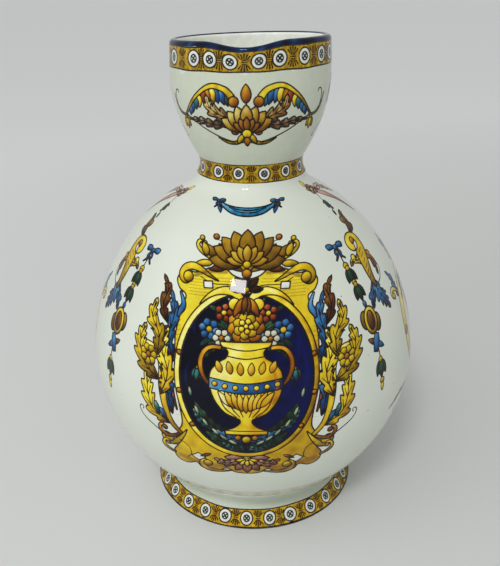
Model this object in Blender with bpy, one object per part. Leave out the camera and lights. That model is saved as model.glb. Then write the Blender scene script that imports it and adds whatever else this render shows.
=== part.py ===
"""Earthenware ewer: a globular jug with a mouth cup, a drawn pouring lip and a strap handle.

The pot is thrown and luted from six sections, each its own closed solid: the foot ring, the lower and
the upper half of the body, the neck collar, the mouth cup and the handle. The vessel's axis is Z, the
standing plane is z = 0, the pouring lip faces -Y and the handle is at +Y. Lengths are in metres.
"""

import math

import bmesh
import bpy

# Foot ring: a flared skirt with a slanted painted face and a hollow moulding up to its waist
FOOT_RADIUS = 0.0811
FOOT_FACE_TOP_RADIUS = 0.0733
FOOT_FACE_HEIGHT = 0.0129
FOOT_HEIGHT = 0.0165
FOOT_WAIST_RADIUS = 0.0640
FOOT_STANDING_WIDTH = 0.0080
FOOT_SEAT_WIDTH = 0.0120
FOOT_EDGE = 0.0008

# Body: two bowls that meet at the belly, the lower on the foot's waist, the upper blended into the neck
BODY_RADIUS = 0.1230
BELLY_HEIGHT = 0.1230
LOWER_FULLNESS_SHARE = 1.90
UPPER_FULLNESS_SHARE = 1.90
BODY_WALL = 0.0060
BODY_FLOOR = 0.0080
SHOULDER_HEIGHT = 0.1373
SHOULDER_BLEND = 0.0115
SHOULDER_BLEND_RADIUS = 0.0504

# Neck collar: a short waisted ring between the shoulder and the cup
COLLAR_HEIGHT = 0.0120
COLLAR_FOOT_RADIUS = 0.0389
COLLAR_WAIST_RADIUS = 0.0369
COLLAR_TOP_RADIUS = 0.0378
NECK_BORE_RADIUS = 0.0310

# Mouth cup: widest above its middle and drawn in a little at the rim
CUP_HEIGHT = 0.0786
CUP_BELLY_HEIGHT = 0.0535
CUP_RADIUS = 0.0550
CUP_FOOT_RADIUS = 0.0379
CUP_FULLNESS_SHARE = 1.85
RIM_DRAW_IN = 0.0010
RIM_THICKNESS = 0.0055

# Pouring lip: the rim pulled forward and down with a finger while the clay is soft, a little off centre
LIP_WIDTH = 0.0600
LIP_PUSH = 0.0035
LIP_DIP = 0.0036
LIP_DEPTH = 0.0330
LIP_TURN = math.radians(-1.0)

# Lean of the mouth: one side of the rim stands a little higher, as thrown by hand
RIM_LEAN = 0.0017
RIM_LEAN_DEPTH = 0.0600
RIM_LEAN_TURN = math.radians(42.0)

# Handle: a pulled strap with a soft rib, from the back of the cup to the shoulder
HANDLE_WIDTH = 0.0300
HANDLE_THICKNESS = 0.0110
HANDLE_RIB = 0.0022
HANDLE_TOP_DROP = 0.0230
HANDLE_FOOT_LEVEL = 0.0830
HANDLE_FINGER_GAP = 0.0520
HANDLE_RISE = 0.0130
HANDLE_LIFT = 0.0360
HANDLE_ROOT = 0.0020
HANDLE_FLARE_SHARE = 0.30
HANDLE_FLARE_REACH_SHARE = 0.22
HANDLE_ROUNDNESS_SHARE = 0.70

# The slip that lutes two sections together
SLIP_JOINT = 0.0003

# Faces round the axis and points along each outline
BODY_SEGMENTS = 64
CUP_SEGMENTS = 80
BODY_STEPS = 11
BLEND_STEPS = 3
COVE_STEPS = 4
COLLAR_STEPS = 5
CUP_STEPS = 7
RIM_STEPS = 4
HANDLE_STEPS = 26
HANDLE_SIDES = 14
SHARP_ANGLE = math.radians(40)

# Levels that follow from the sizes above
body_base = FOOT_HEIGHT + SLIP_JOINT
shoulder_top = BELLY_HEIGHT + SHOULDER_HEIGHT
collar_base = shoulder_top + SLIP_JOINT
collar_top = collar_base + COLLAR_HEIGHT
cup_base = collar_top + SLIP_JOINT
cup_belly = cup_base + CUP_BELLY_HEIGHT
rim_top = cup_base + CUP_HEIGHT
rim_radius = CUP_RADIUS - RIM_DRAW_IN


def bowl_depth(rise, at_radius, radius, fullness):
    """The half axis of a bowl that has shrunk to a radius when it has climbed so far from the belly."""
    return rise / (1 - (at_radius / radius) ** fullness) ** (1 / fullness)


base_drop = BELLY_HEIGHT - body_base
blend_rise = SHOULDER_HEIGHT - SHOULDER_BLEND
lower_depth = bowl_depth(base_drop, FOOT_WAIST_RADIUS, BODY_RADIUS, LOWER_FULLNESS_SHARE)
upper_depth = bowl_depth(blend_rise, SHOULDER_BLEND_RADIUS, BODY_RADIUS, UPPER_FULLNESS_SHARE)

GLAZE_WHITE = (0.80, 0.83, 0.79)
BAND_OCHRE = (0.72, 0.40, 0.04)
GLAZE_ROUGHNESS = 0.12


def glaze(name, colour):
    material = bpy.data.materials.new(name)
    material.use_nodes = True
    shader = material.node_tree.nodes["Principled BSDF"]
    shader.inputs["Base Color"].default_value = (*colour, 1.0)
    shader.inputs["Roughness"].default_value = GLAZE_ROUGHNESS
    shader.inputs["Metallic"].default_value = 0.0
    return material


def sampled(curve, steps):
    """The points of a curve, which takes a share from 0 to 1, at even shares."""
    return [curve(step / steps) for step in range(steps + 1)]


def bowl(radius, depth, fullness, start=0.0, end=1.0):
    """A quarter of a superellipse from the belly (share 0) to the axis (share 1), as (radius, rise)."""

    def curve(share):
        angle = (start + (end - start) * share) * math.pi / 2
        return (
            radius * max(math.cos(angle), 0.0) ** (2 / fullness),
            depth * max(math.sin(angle), 0.0) ** (2 / fullness),
        )

    return curve


def share_at_rise(rise, depth, fullness):
    """The share of a bowl's quarter at which it has climbed so far from the belly."""
    return math.asin(min(rise / depth, 1.0) ** (fullness / 2)) * 2 / math.pi


def share_at_radius(at_radius, radius, fullness):
    """The share of a bowl's quarter at which its radius has shrunk so far."""
    return math.acos(min(at_radius / radius, 1.0) ** (fullness / 2)) * 2 / math.pi


def bezier(*controls):
    """A Bezier curve through the plane with any number of control points."""
    degree = len(controls) - 1

    def curve(share):
        weights = [
            math.comb(degree, k) * share**k * (1 - share) ** (degree - k) for k in range(degree + 1)
        ]
        return tuple(
            sum(weight * control[axis] for weight, control in zip(weights, controls)) for axis in range(2)
        )

    return curve


def raised(points, level, sign=1):
    """Outline points moved so that their rise counts up or down from a level."""
    return [(radius, level + sign * rise) for radius, rise in points]


def turned(name, outline, segments, closed=True):
    """A solid turned on the Z axis from an outline of (radius, height) points."""
    mesh = bpy.data.meshes.new(name)
    shape = bmesh.new()
    verts = [shape.verts.new((radius, 0.0, height)) for radius, height in outline]
    pairs = list(zip(verts, verts[1:]))
    if closed:
        pairs.append((verts[-1], verts[0]))
    edges = [shape.edges.new(pair) for pair in pairs]
    bmesh.ops.spin(
        shape,
        geom=verts + edges,
        cent=(0, 0, 0),
        axis=(0, 0, 1),
        angle=2 * math.pi,
        steps=segments,
        use_merge=True,
    )
    bmesh.ops.remove_doubles(shape, verts=shape.verts, dist=SLIP_JOINT / 10)
    bmesh.ops.recalc_face_normals(shape, faces=shape.faces)
    shape.to_mesh(mesh)
    shape.free()
    return bpy.data.objects.new(name, mesh)


def finish(piece, colour, parent):
    """Shades a piece smooth, gives it its glaze and stands it on the vessel's axis."""
    piece.data.materials.append(glaze(piece.name + "_glaze", colour))
    piece.data.shade_smooth()
    piece.data.set_sharp_from_angle(angle=SHARP_ANGLE)
    piece.parent = parent
    bpy.context.scene.collection.objects.link(piece)
    return piece


def body_radius_at(rise):
    """The outer radius of the upper body, so far above the belly."""
    share = share_at_rise(rise, upper_depth, UPPER_FULLNESS_SHARE)
    return bowl(BODY_RADIUS, upper_depth, UPPER_FULLNESS_SHARE)(share)[0]


def cup_radius_at(height, foot_radius, belly_radius):
    """The radius of the cup's wall at a height, between its foot and its rim."""
    if height > cup_belly:
        above = (height - cup_belly) / (rim_top - cup_belly)
        return belly_radius - RIM_DRAW_IN * above**2
    below = (cup_belly - height) / CUP_BELLY_HEIGHT
    return belly_radius - (belly_radius - foot_radius) * below**CUP_FULLNESS_SHARE


def foot_ring():
    face_foot = (FOOT_RADIUS, FOOT_EDGE)
    face_top = (FOOT_FACE_TOP_RADIUS, FOOT_FACE_HEIGHT)
    waist = (FOOT_WAIST_RADIUS, FOOT_HEIGHT)
    cove_bend = (FOOT_WAIST_RADIUS + FOOT_EDGE, FOOT_FACE_HEIGHT + FOOT_EDGE)
    cove = bezier(face_top, cove_bend, waist)
    seat_radius = FOOT_WAIST_RADIUS - FOOT_SEAT_WIDTH
    hollow_radius = FOOT_RADIUS - FOOT_STANDING_WIDTH
    ceiling = FOOT_FACE_HEIGHT - FOOT_EDGE
    hollow_bend = (hollow_radius - FOOT_STANDING_WIDTH, ceiling)
    hollow = bezier((seat_radius, ceiling), hollow_bend, (hollow_radius, FOOT_EDGE))
    outline = [(FOOT_RADIUS - FOOT_EDGE, 0.0), face_foot]
    outline += sampled(cove, COVE_STEPS)
    outline += [(seat_radius, FOOT_HEIGHT)]
    outline += sampled(hollow, COVE_STEPS)
    outline += [(hollow_radius + FOOT_EDGE, 0.0)]
    return turned("foot_ring", outline, BODY_SEGMENTS)


def body_lower():
    inner_radius = BODY_RADIUS - BODY_WALL
    inner_depth = lower_depth - BODY_WALL
    outer_end = share_at_rise(base_drop, lower_depth, LOWER_FULLNESS_SHARE)
    inner_end = share_at_rise(base_drop - BODY_FLOOR, inner_depth, LOWER_FULLNESS_SHARE)
    outer = bowl(BODY_RADIUS, lower_depth, LOWER_FULLNESS_SHARE, 0.0, outer_end)
    inner = bowl(inner_radius, inner_depth, LOWER_FULLNESS_SHARE, 0.0, inner_end)
    outline = [(0.0, body_base)]
    outline += reversed(raised(sampled(outer, BODY_STEPS), BELLY_HEIGHT, -1))
    outline += raised(sampled(inner, BODY_STEPS), BELLY_HEIGHT, -1)
    outline += [(0.0, body_base + BODY_FLOOR)]
    return turned("body_lower", outline, BODY_SEGMENTS, closed=False)


def body_upper():
    seam = BELLY_HEIGHT + SLIP_JOINT
    start = share_at_rise(SLIP_JOINT, upper_depth, UPPER_FULLNESS_SHARE)
    blend_share = share_at_rise(blend_rise, upper_depth, UPPER_FULLNESS_SHARE)
    outer = bowl(BODY_RADIUS, upper_depth, UPPER_FULLNESS_SHARE, start, blend_share)
    inner_radius = BODY_RADIUS - BODY_WALL
    bore_share = share_at_radius(NECK_BORE_RADIUS, inner_radius, UPPER_FULLNESS_SHARE)
    inner = bowl(inner_radius, upper_depth - BODY_WALL, UPPER_FULLNESS_SHARE, bore_share, start)
    shoulder = sampled(outer, BODY_STEPS)
    blend_from = (shoulder[-1][0], BELLY_HEIGHT + blend_rise)
    neck_root = (COLLAR_FOOT_RADIUS, shoulder_top)
    corner = (COLLAR_FOOT_RADIUS, shoulder_top - SHOULDER_BLEND / 2)
    outline = [(BODY_RADIUS, seam)]
    outline += raised(shoulder, BELLY_HEIGHT)[1:]
    outline += sampled(bezier(blend_from, corner, neck_root), BLEND_STEPS)[1:]
    outline += [(NECK_BORE_RADIUS, shoulder_top)]
    outline += raised(sampled(inner, BODY_STEPS), BELLY_HEIGHT)[:-1]
    outline += [(inner_radius, seam)]
    return turned("body_upper", outline, BODY_SEGMENTS)


def neck_collar():
    middle = (collar_base + collar_top) / 2
    pull = 2 * COLLAR_WAIST_RADIUS - (COLLAR_FOOT_RADIUS + COLLAR_TOP_RADIUS) / 2
    waist = bezier((COLLAR_FOOT_RADIUS, collar_base), (pull, middle), (COLLAR_TOP_RADIUS, collar_top))
    outline = sampled(waist, COLLAR_STEPS)
    outline += [(NECK_BORE_RADIUS, collar_top), (NECK_BORE_RADIUS, collar_base)]
    return turned("neck_collar", outline, CUP_SEGMENTS)


def rim_roll(share):
    """The rounded rim, from the outer wall over the top to the inner wall."""
    radius = RIM_THICKNESS / 2
    angle = math.pi * share
    return (rim_radius - radius + radius * math.cos(angle), rim_top - radius + radius * math.sin(angle))


def cup_wall(foot_radius, belly_radius):
    top = rim_top - RIM_THICKNESS / 2

    def curve(share):
        height = cup_base + (top - cup_base) * share
        return (cup_radius_at(height, foot_radius, belly_radius), height)

    return curve


def draw_lip(piece):
    """Pulls the front of the rim forward and down, fading out round the rim and down the cup."""
    half_angle = LIP_WIDTH / 2 / rim_radius
    for vert in piece.data.vertices:
        turn = abs(math.atan2(vert.co.x, -vert.co.y) - LIP_TURN)
        climb = (vert.co.z - (rim_top - LIP_DEPTH)) / LIP_DEPTH
        if turn >= half_angle or climb <= 0:
            continue
        strength = math.cos(turn / half_angle * math.pi / 2) ** 2 * climb**2
        radius = math.hypot(vert.co.x, vert.co.y)
        grown = (radius + LIP_PUSH * strength) / radius
        vert.co.x *= grown
        vert.co.y *= grown
        vert.co.z -= LIP_DIP * strength


def lean_rim(piece):
    """Lifts one side of the mouth and lowers the other, fading out down the cup."""
    for vert in piece.data.vertices:
        share = min(max((vert.co.z - (rim_top - RIM_LEAN_DEPTH)) / RIM_LEAN_DEPTH, 0.0), 1.0)
        climb = share**2 * (3 - 2 * share)
        toward = vert.co.x * math.sin(RIM_LEAN_TURN) - vert.co.y * math.cos(RIM_LEAN_TURN)
        vert.co.z += RIM_LEAN * toward / rim_radius * climb


def mouth_cup():
    outline = sampled(cup_wall(CUP_FOOT_RADIUS, CUP_RADIUS), CUP_STEPS)
    outline += sampled(rim_roll, RIM_STEPS)[1:-1]
    outline += reversed(sampled(cup_wall(NECK_BORE_RADIUS, CUP_RADIUS - RIM_THICKNESS), CUP_STEPS))
    cup = turned("mouth_cup", outline, CUP_SEGMENTS)
    draw_lip(cup)
    lean_rim(cup)
    return cup


def handle_section(side, thickness, width):
    """One point of the strap's section, as (across, outward): flat inside, with a soft rib outside."""
    angle = 2 * math.pi * side / HANDLE_SIDES
    across, outward = math.cos(angle), math.sin(angle)
    rib = HANDLE_RIB * max(outward, 0.0) * math.cos(across * math.pi)
    flat = math.copysign(abs(outward) ** HANDLE_ROUNDNESS_SHARE, outward)
    return across * width / 2, flat * thickness / 2 + rib


def root_inside(radius):
    """How far out the strap's root starts, so that its flared corners are still inside a round skin."""
    half_width = HANDLE_WIDTH * (1 + HANDLE_FLARE_SHARE) / 2
    return math.sqrt(radius**2 - half_width**2) - HANDLE_ROOT


def handle_path():
    """The strap's middle line in the YZ plane, rooted a little inside the cup's and the shoulder's skin."""
    top = rim_top - HANDLE_TOP_DROP
    foot = BELLY_HEIGHT + HANDLE_FOOT_LEVEL
    start = root_inside(cup_radius_at(top, CUP_FOOT_RADIUS, CUP_RADIUS))
    end = root_inside(body_radius_at(HANDLE_FOOT_LEVEL))
    reach = CUP_RADIUS + HANDLE_FINGER_GAP + HANDLE_THICKNESS / 2
    pull = (8 * reach - start - end) / 6
    return bezier((start, top), (pull, top + HANDLE_RISE), (pull, foot + HANDLE_LIFT), (end, foot))


def seat_cutter(name, outline, parent):
    """A solid of a section's outer skin, grown by the slip joint, that trims the handle's root to it."""
    cutter = turned(name, outline, BODY_SEGMENTS, closed=False)
    cutter.hide_render = True
    cutter.display_type = "WIRE"
    cutter.parent = parent
    bpy.context.scene.collection.objects.link(cutter)
    return cutter


def cup_seat(parent):
    wall = sampled(cup_wall(CUP_FOOT_RADIUS + SLIP_JOINT, CUP_RADIUS + SLIP_JOINT), 2 * CUP_STEPS)
    outline = [(0.0, wall[0][1])] + wall + [(0.0, wall[-1][1])]
    return seat_cutter("cup_seat", outline, parent)


def shoulder_seat(parent):
    grown = bowl(BODY_RADIUS + SLIP_JOINT, upper_depth + SLIP_JOINT, UPPER_FULLNESS_SHARE)
    dome = raised(sampled(grown, 2 * BODY_STEPS), BELLY_HEIGHT)
    return seat_cutter("shoulder_seat", [(0.0, BELLY_HEIGHT)] + dome, parent)


def handle(parent):
    path = handle_path()
    shape = bmesh.new()
    rings = []
    for step in range(HANDLE_STEPS + 1):
        share = step / HANDLE_STEPS
        y, z = path(share)
        before = path(max(share - 1 / HANDLE_STEPS, 0.0))
        after = path(min(share + 1 / HANDLE_STEPS, 1.0))
        run, climb = after[0] - before[0], after[1] - before[1]
        length = math.hypot(run, climb)
        out_y, out_z = -climb / length, run / length
        near_end = max(1 - min(share, 1 - share) / HANDLE_FLARE_REACH_SHARE, 0.0) ** 2
        flare = 1 + HANDLE_FLARE_SHARE * near_end
        ring = []
        for side in range(HANDLE_SIDES):
            across, outward = handle_section(side, HANDLE_THICKNESS * flare, HANDLE_WIDTH * flare)
            ring.append(shape.verts.new((across, y + out_y * outward, z + out_z * outward)))
        rings.append(ring)
    for lower, upper in zip(rings, rings[1:]):
        for side in range(HANDLE_SIDES):
            after = (side + 1) % HANDLE_SIDES
            shape.faces.new((lower[side], lower[after], upper[after], upper[side]))
    for cap in (rings[0], rings[-1]):
        shape.faces.new(cap)
    bmesh.ops.recalc_face_normals(shape, faces=shape.faces)
    mesh = bpy.data.meshes.new("handle")
    shape.to_mesh(mesh)
    shape.free()
    strap = bpy.data.objects.new("handle", mesh)
    for seat in (cup_seat(parent), shoulder_seat(parent)):
        trim = strap.modifiers.new(seat.name, "BOOLEAN")
        trim.operation = "DIFFERENCE"
        trim.solver = "EXACT"
        trim.object = seat
    return strap


def build():
    for old in list(bpy.data.objects):
        bpy.data.objects.remove(old, do_unlink=True)
    axis = bpy.data.objects.new("vessel_axis", None)
    bpy.context.scene.collection.objects.link(axis)
    finish(foot_ring(), BAND_OCHRE, axis)
    finish(body_lower(), GLAZE_WHITE, axis)
    finish(body_upper(), GLAZE_WHITE, axis)
    finish(neck_collar(), BAND_OCHRE, axis)
    finish(mouth_cup(), GLAZE_WHITE, axis)
    finish(handle(axis), GLAZE_WHITE, axis)


build()
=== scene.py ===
# %% [markdown]
# # A painted earthenware ewer
#
# The real jug is thrown on a wheel in sections, luted together with slip, dipped in a white tin glaze and
# painted by hand with coloured oxides before the second firing. This lesson follows the same order: the
# frame gives the sections their sizes, each section is turned as a fine mesh, the ornament is painted on
# it, and one glaze material shows both the white ground and the painting.

# %% Load the frame
import math

import bmesh
import bpy
import numpy as np
from mathutils import Matrix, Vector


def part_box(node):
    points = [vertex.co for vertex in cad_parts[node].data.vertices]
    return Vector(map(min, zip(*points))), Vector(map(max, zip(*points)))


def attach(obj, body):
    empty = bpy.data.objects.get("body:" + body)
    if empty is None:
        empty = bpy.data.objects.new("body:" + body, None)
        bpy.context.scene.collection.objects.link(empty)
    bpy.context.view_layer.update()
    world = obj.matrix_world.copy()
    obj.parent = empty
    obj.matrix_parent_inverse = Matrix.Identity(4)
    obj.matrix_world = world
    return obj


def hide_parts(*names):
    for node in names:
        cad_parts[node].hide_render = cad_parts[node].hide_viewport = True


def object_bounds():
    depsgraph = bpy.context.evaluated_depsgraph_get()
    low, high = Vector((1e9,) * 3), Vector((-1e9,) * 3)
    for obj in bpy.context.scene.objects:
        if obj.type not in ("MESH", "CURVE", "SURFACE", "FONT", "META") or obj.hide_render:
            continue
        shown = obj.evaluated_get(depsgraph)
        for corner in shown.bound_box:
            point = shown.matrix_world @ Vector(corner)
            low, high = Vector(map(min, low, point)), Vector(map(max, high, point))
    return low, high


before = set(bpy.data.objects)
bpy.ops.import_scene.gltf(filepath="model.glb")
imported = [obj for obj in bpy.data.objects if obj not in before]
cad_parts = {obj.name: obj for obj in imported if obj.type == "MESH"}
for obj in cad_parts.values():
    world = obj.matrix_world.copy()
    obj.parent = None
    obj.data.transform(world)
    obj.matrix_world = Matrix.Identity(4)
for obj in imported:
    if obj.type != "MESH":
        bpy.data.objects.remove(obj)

cad_box = [[float(value) for value in corner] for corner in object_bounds()]
print("CAD box in metres:", cad_box)

# %% [markdown]
# ## Sizes
#
# Everything is worked out in millimetres and turned to metres only when a mesh is made. The heights and the
# widest radii are read from the frame, so the painted skins stay on the solids. The outlines between
# them are the potter's curves: two bowls for the body, a waisted collar and an egg-shaped cup.

# %% Sizes from the frame, in millimetres
MM = 0.001


def reach(node):
    """A section's base, top and largest radius in millimetres."""
    low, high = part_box(node)
    return low[2] / MM, high[2] / MM, high[0] / MM


_, foot_top, foot_radius = reach("foot_ring")
body_base, belly, body_radius = reach("body_lower")
_, shoulder_top, _ = reach("body_upper")
collar_base, collar_top, collar_foot_radius = reach("neck_collar")
cup_base, _, cup_radius = reach("mouth_cup")

FOOT_FACE_TOP_RADIUS, FOOT_FACE_HEIGHT, FOOT_WAIST_RADIUS = 73.3, 12.9, 64.0
FOOT_STANDING_WIDTH, FOOT_SEAT_WIDTH, FOOT_EDGE = 8.0, 12.0, 0.8
LOWER_FULLNESS, UPPER_FULLNESS = 1.90, 1.90
BODY_WALL, BODY_FLOOR = 6.0, 8.0
SHOULDER_BLEND, SHOULDER_BLEND_RADIUS = 11.5, 50.4
COLLAR_WAIST_RADIUS, COLLAR_TOP_RADIUS, NECK_BORE_RADIUS = 36.9, 37.8, 31.0
CUP_BELLY_HEIGHT, CUP_FOOT_RADIUS, CUP_FULLNESS = 53.5, 37.9, 1.85
RIM_DRAW_IN, RIM_THICKNESS = 1.0, 5.5
CUP_HEIGHT = 78.6
LIP_WIDTH, LIP_PUSH, LIP_DIP, LIP_DEPTH, LIP_TURN = 60.0, 3.5, 3.6, 33.0, math.radians(-1.0)
RIM_LEAN, RIM_LEAN_DEPTH, RIM_LEAN_TURN = 1.7, 60.0, math.radians(42.0)

foot_joint = (foot_top + body_base) / 2
collar_joint = (shoulder_top + collar_base) / 2
cup_joint = (collar_top + cup_base) / 2
cup_belly = cup_base + CUP_BELLY_HEIGHT
rim_top = cup_base + CUP_HEIGHT
rim_radius = cup_radius - RIM_DRAW_IN
rim_turn = rim_top - RIM_THICKNESS / 2
print(f"belly {belly:.1f}, shoulder {shoulder_top:.1f}, cup {cup_base:.1f}, rim {rim_top:.1f} mm")

# %% [markdown]
# ## The outer skin
#
# Painting on a turned pot needs a map of its surface. The whole outer skin, from the foot's edge up to the
# rim, is sampled as one curve of radius against height, with its arc length counted from the belly. A place
# on the pot is then an azimuth in degrees (0 at the painted front, growing to the viewer's right) and an
# arc length in millimetres.

# %% The outer skin as one curve
FINE = 400


def bend(start, corner, end):
    """A quadratic curve between two points of the outline, as rows of (radius, height)."""
    share = np.linspace(0, 1, FINE)[:, None]
    return (1 - share) ** 2 * start + 2 * share * (1 - share) * corner + share**2 * end


def bowl(radius, depth, fullness, rise):
    return radius * np.clip(1 - np.clip(rise / depth, 0, 1) ** fullness, 0, 1) ** (1 / fullness)


def bowl_depth(rise, at_radius, radius, fullness):
    return rise / (1 - (at_radius / radius) ** fullness) ** (1 / fullness)


blend_rise = shoulder_top - belly - SHOULDER_BLEND
lower_depth = bowl_depth(belly - body_base, FOOT_WAIST_RADIUS, body_radius, LOWER_FULLNESS)
upper_depth = bowl_depth(blend_rise, SHOULDER_BLEND_RADIUS, body_radius, UPPER_FULLNESS)


def foot_skin():
    edge = [foot_radius - FOOT_EDGE, 0], [foot_radius, FOOT_EDGE]
    face = np.array([*edge, [FOOT_FACE_TOP_RADIUS, FOOT_FACE_HEIGHT]])
    corner = np.array([FOOT_WAIST_RADIUS + FOOT_EDGE, FOOT_FACE_HEIGHT + FOOT_EDGE])
    cove = bend(face[-1], corner, np.array([FOOT_WAIST_RADIUS, foot_joint]))
    return np.vstack([face, cove[1:]])


def lower_skin():
    rise = (belly - foot_joint) * np.cos(np.linspace(0, math.pi / 2, FINE))
    rise[0] = belly - body_base
    radius = bowl(body_radius, lower_depth, LOWER_FULLNESS, rise)
    height = belly - rise
    height[0] = foot_joint
    return np.column_stack([radius, height])


def upper_skin():
    rise = np.linspace(0, blend_rise, FINE)
    bowl_part = np.column_stack([bowl(body_radius, upper_depth, UPPER_FULLNESS, rise), belly + rise])
    corner = np.array([collar_foot_radius, shoulder_top - SHOULDER_BLEND / 2])
    blend = bend(bowl_part[-1], corner, np.array([collar_foot_radius, collar_joint]))
    return np.vstack([bowl_part, blend[1:]])


def collar_skin():
    pull = 2 * COLLAR_WAIST_RADIUS - (collar_foot_radius + COLLAR_TOP_RADIUS) / 2
    middle = (collar_joint + cup_joint) / 2
    ends = np.array([collar_foot_radius, collar_joint]), np.array([COLLAR_TOP_RADIUS, cup_joint])
    return bend(ends[0], np.array([pull, middle]), ends[1])


def cup_wall(height, foot, widest):
    """The cup's radius at heights, for its outer skin or, with smaller radii, for its inside."""
    down = np.clip(cup_belly - height, 0, None) / CUP_BELLY_HEIGHT
    up = np.clip(height - cup_belly, 0, None) / (rim_top - cup_belly)
    return widest - (widest - foot) * down**CUP_FULLNESS - RIM_DRAW_IN * up**2


def cup_skin():
    height = np.linspace(cup_base, rim_turn, FINE)
    radius = cup_wall(height, CUP_FOOT_RADIUS, cup_radius)
    height[0] = cup_joint
    return np.column_stack([radius, height])


SAME_HEIGHT = 1e-6
skin = np.vstack([foot_skin(), lower_skin()[1:], upper_skin()[1:], collar_skin()[1:], cup_skin()[1:]])
skin = skin[np.concatenate([[True], np.diff(skin[:, 1]) > SAME_HEIGHT])]
skin_radius, skin_height = skin.T
skin_arc = np.concatenate([[0], np.cumsum(np.hypot(np.diff(skin_radius), np.diff(skin_height)))])
skin_arc -= np.interp(belly, skin_height, skin_arc)
print(f"the skin is {skin_arc[-1] - skin_arc[0]:.0f} mm long from the foot's edge to the rim")


def radius_at(height):
    return np.interp(height, skin_height, skin_radius)


def arc_at(height):
    return np.interp(height, skin_height, skin_arc)


def height_at(arc):
    return np.interp(arc, skin_arc, skin_height)


# %% [markdown]
# ## Turning a section
#
# Each section is a closed outline spun once round the axis, as the wheel does it. The spin starts from the
# skin's own points and comes back down the inside. The outline's points are spaced widely here, because
# the mesh is refined later, only where a brush has been. The body is one pot, but it carries most of the
# painting, so its bowls are turned as wedges, to keep each mesh to a size that every program can open.

# %% Turn an outline on the axis
COARSE_MM, COLLAR_MM, COVE_MM = 3.2, 1.5, 1.6  # how far apart the points of an outline are
TURN_STEPS, INSIDE_STEPS, CUP_STEPS, ROLL_STEPS = 240, 22, 24, 33
WELD = 1e-6  # metres under which two vertices are one


def skin_between(low, high, spacing=COARSE_MM):
    """Points of the skin between two heights, evenly spaced along its arc."""
    start, end = arc_at(low), arc_at(high)
    count = max(int(round((end - start) / spacing)), 1)
    arcs = np.linspace(start, end, count + 1)
    points = np.column_stack([np.interp(arcs, skin_arc, skin_radius), height_at(arcs)])
    return [tuple(point) for point in points]


def finished(shape, name):
    """A new mesh from a shape that is done."""
    mesh = bpy.data.meshes.new(name)
    shape.to_mesh(mesh)
    shape.free()
    return mesh


def turn(name, outline, closed=True, start=0, sweep=360):
    """A mesh spun from (radius, height) points in millimetres, from a start azimuth through so many degrees."""
    shape = bmesh.new()
    verts = [shape.verts.new((0.0, -radius * MM, height * MM)) for radius, height in outline]
    pairs = list(zip(verts, verts[1:])) + ([(verts[-1], verts[0])] if closed else [])
    edges = [shape.edges.new(pair) for pair in pairs]
    round_axis = {"cent": (0, 0, 0)}
    bmesh.ops.rotate(shape, verts=verts, matrix=Matrix.Rotation(math.radians(start), 3, "Z"), **round_axis)
    round_axis.update(axis=(0, 0, 1), angle=math.radians(sweep), steps=TURN_STEPS * sweep // 360)
    bmesh.ops.spin(shape, geom=verts + edges, use_merge=sweep == 360, **round_axis)
    bmesh.ops.remove_doubles(shape, verts=shape.verts, dist=WELD)
    bmesh.ops.recalc_face_normals(shape, faces=shape.faces)
    return finished(shape, name)


def inside_bowl(radius, depth, fullness, rises):
    return [(float(bowl(radius, depth, fullness, rise)), float(rise)) for rise in rises]


def foot_outline():
    outer = [(foot_radius - FOOT_EDGE, 0.0), (foot_radius, FOOT_EDGE)]
    outer += skin_between(FOOT_EDGE, FOOT_FACE_HEIGHT)[1:]
    outer += skin_between(FOOT_FACE_HEIGHT, foot_joint, COVE_MM)[1:]
    seat = FOOT_WAIST_RADIUS - FOOT_SEAT_WIDTH
    hollow = foot_radius - FOOT_STANDING_WIDTH
    ceiling = FOOT_FACE_HEIGHT - FOOT_EDGE
    corner = np.array([hollow - FOOT_STANDING_WIDTH, ceiling])
    under = bend(np.array([seat, ceiling]), corner, np.array([hollow, FOOT_EDGE]))[:: FINE // 12]
    return outer + [(seat, foot_joint)] + [tuple(point) for point in under] + [(hollow + FOOT_EDGE, 0.0)]


def lower_outline():
    rises = np.sin(np.linspace(0, math.pi / 2, INSIDE_STEPS)) * (belly - body_base - BODY_FLOOR)
    inner = inside_bowl(body_radius - BODY_WALL, lower_depth - BODY_WALL, LOWER_FULLNESS, rises)
    inner = [(radius, belly - rise) for radius, rise in inner]
    return [(0.0, foot_joint)] + skin_between(foot_joint, belly) + inner + [(0.0, body_base + BODY_FLOOR)]


def upper_outline():
    inner_radius, inner_depth = body_radius - BODY_WALL, upper_depth - BODY_WALL
    bore_rise = inner_depth * (1 - (NECK_BORE_RADIUS / inner_radius) ** UPPER_FULLNESS) ** (1 / UPPER_FULLNESS)
    inner = inside_bowl(inner_radius, inner_depth, UPPER_FULLNESS, np.linspace(bore_rise, 0, INSIDE_STEPS))
    inner = [(radius, belly + rise) for radius, rise in inner]
    return skin_between(belly, collar_joint) + [(NECK_BORE_RADIUS, collar_joint)] + inner


def collar_outline():
    bore = [(NECK_BORE_RADIUS, cup_joint), (NECK_BORE_RADIUS, collar_joint)]
    return skin_between(collar_joint, cup_joint, COLLAR_MM) + bore


def cup_outline():
    half = RIM_THICKNESS / 2
    middle = float(cup_wall(rim_turn, CUP_FOOT_RADIUS, cup_radius)) - half
    angles = np.linspace(0, math.pi, ROLL_STEPS)
    roll = [(middle + half * math.cos(angle), rim_turn + half * math.sin(angle)) for angle in angles]
    heights = np.linspace(rim_turn, cup_joint, CUP_STEPS)[1:]
    inner_radii = cup_wall(heights, NECK_BORE_RADIUS, cup_radius - RIM_THICKNESS)
    inner = [(float(radius), float(height)) for radius, height in zip(inner_radii, heights)]
    return skin_between(cup_joint, rim_turn)[:-1] + roll + inner


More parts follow.
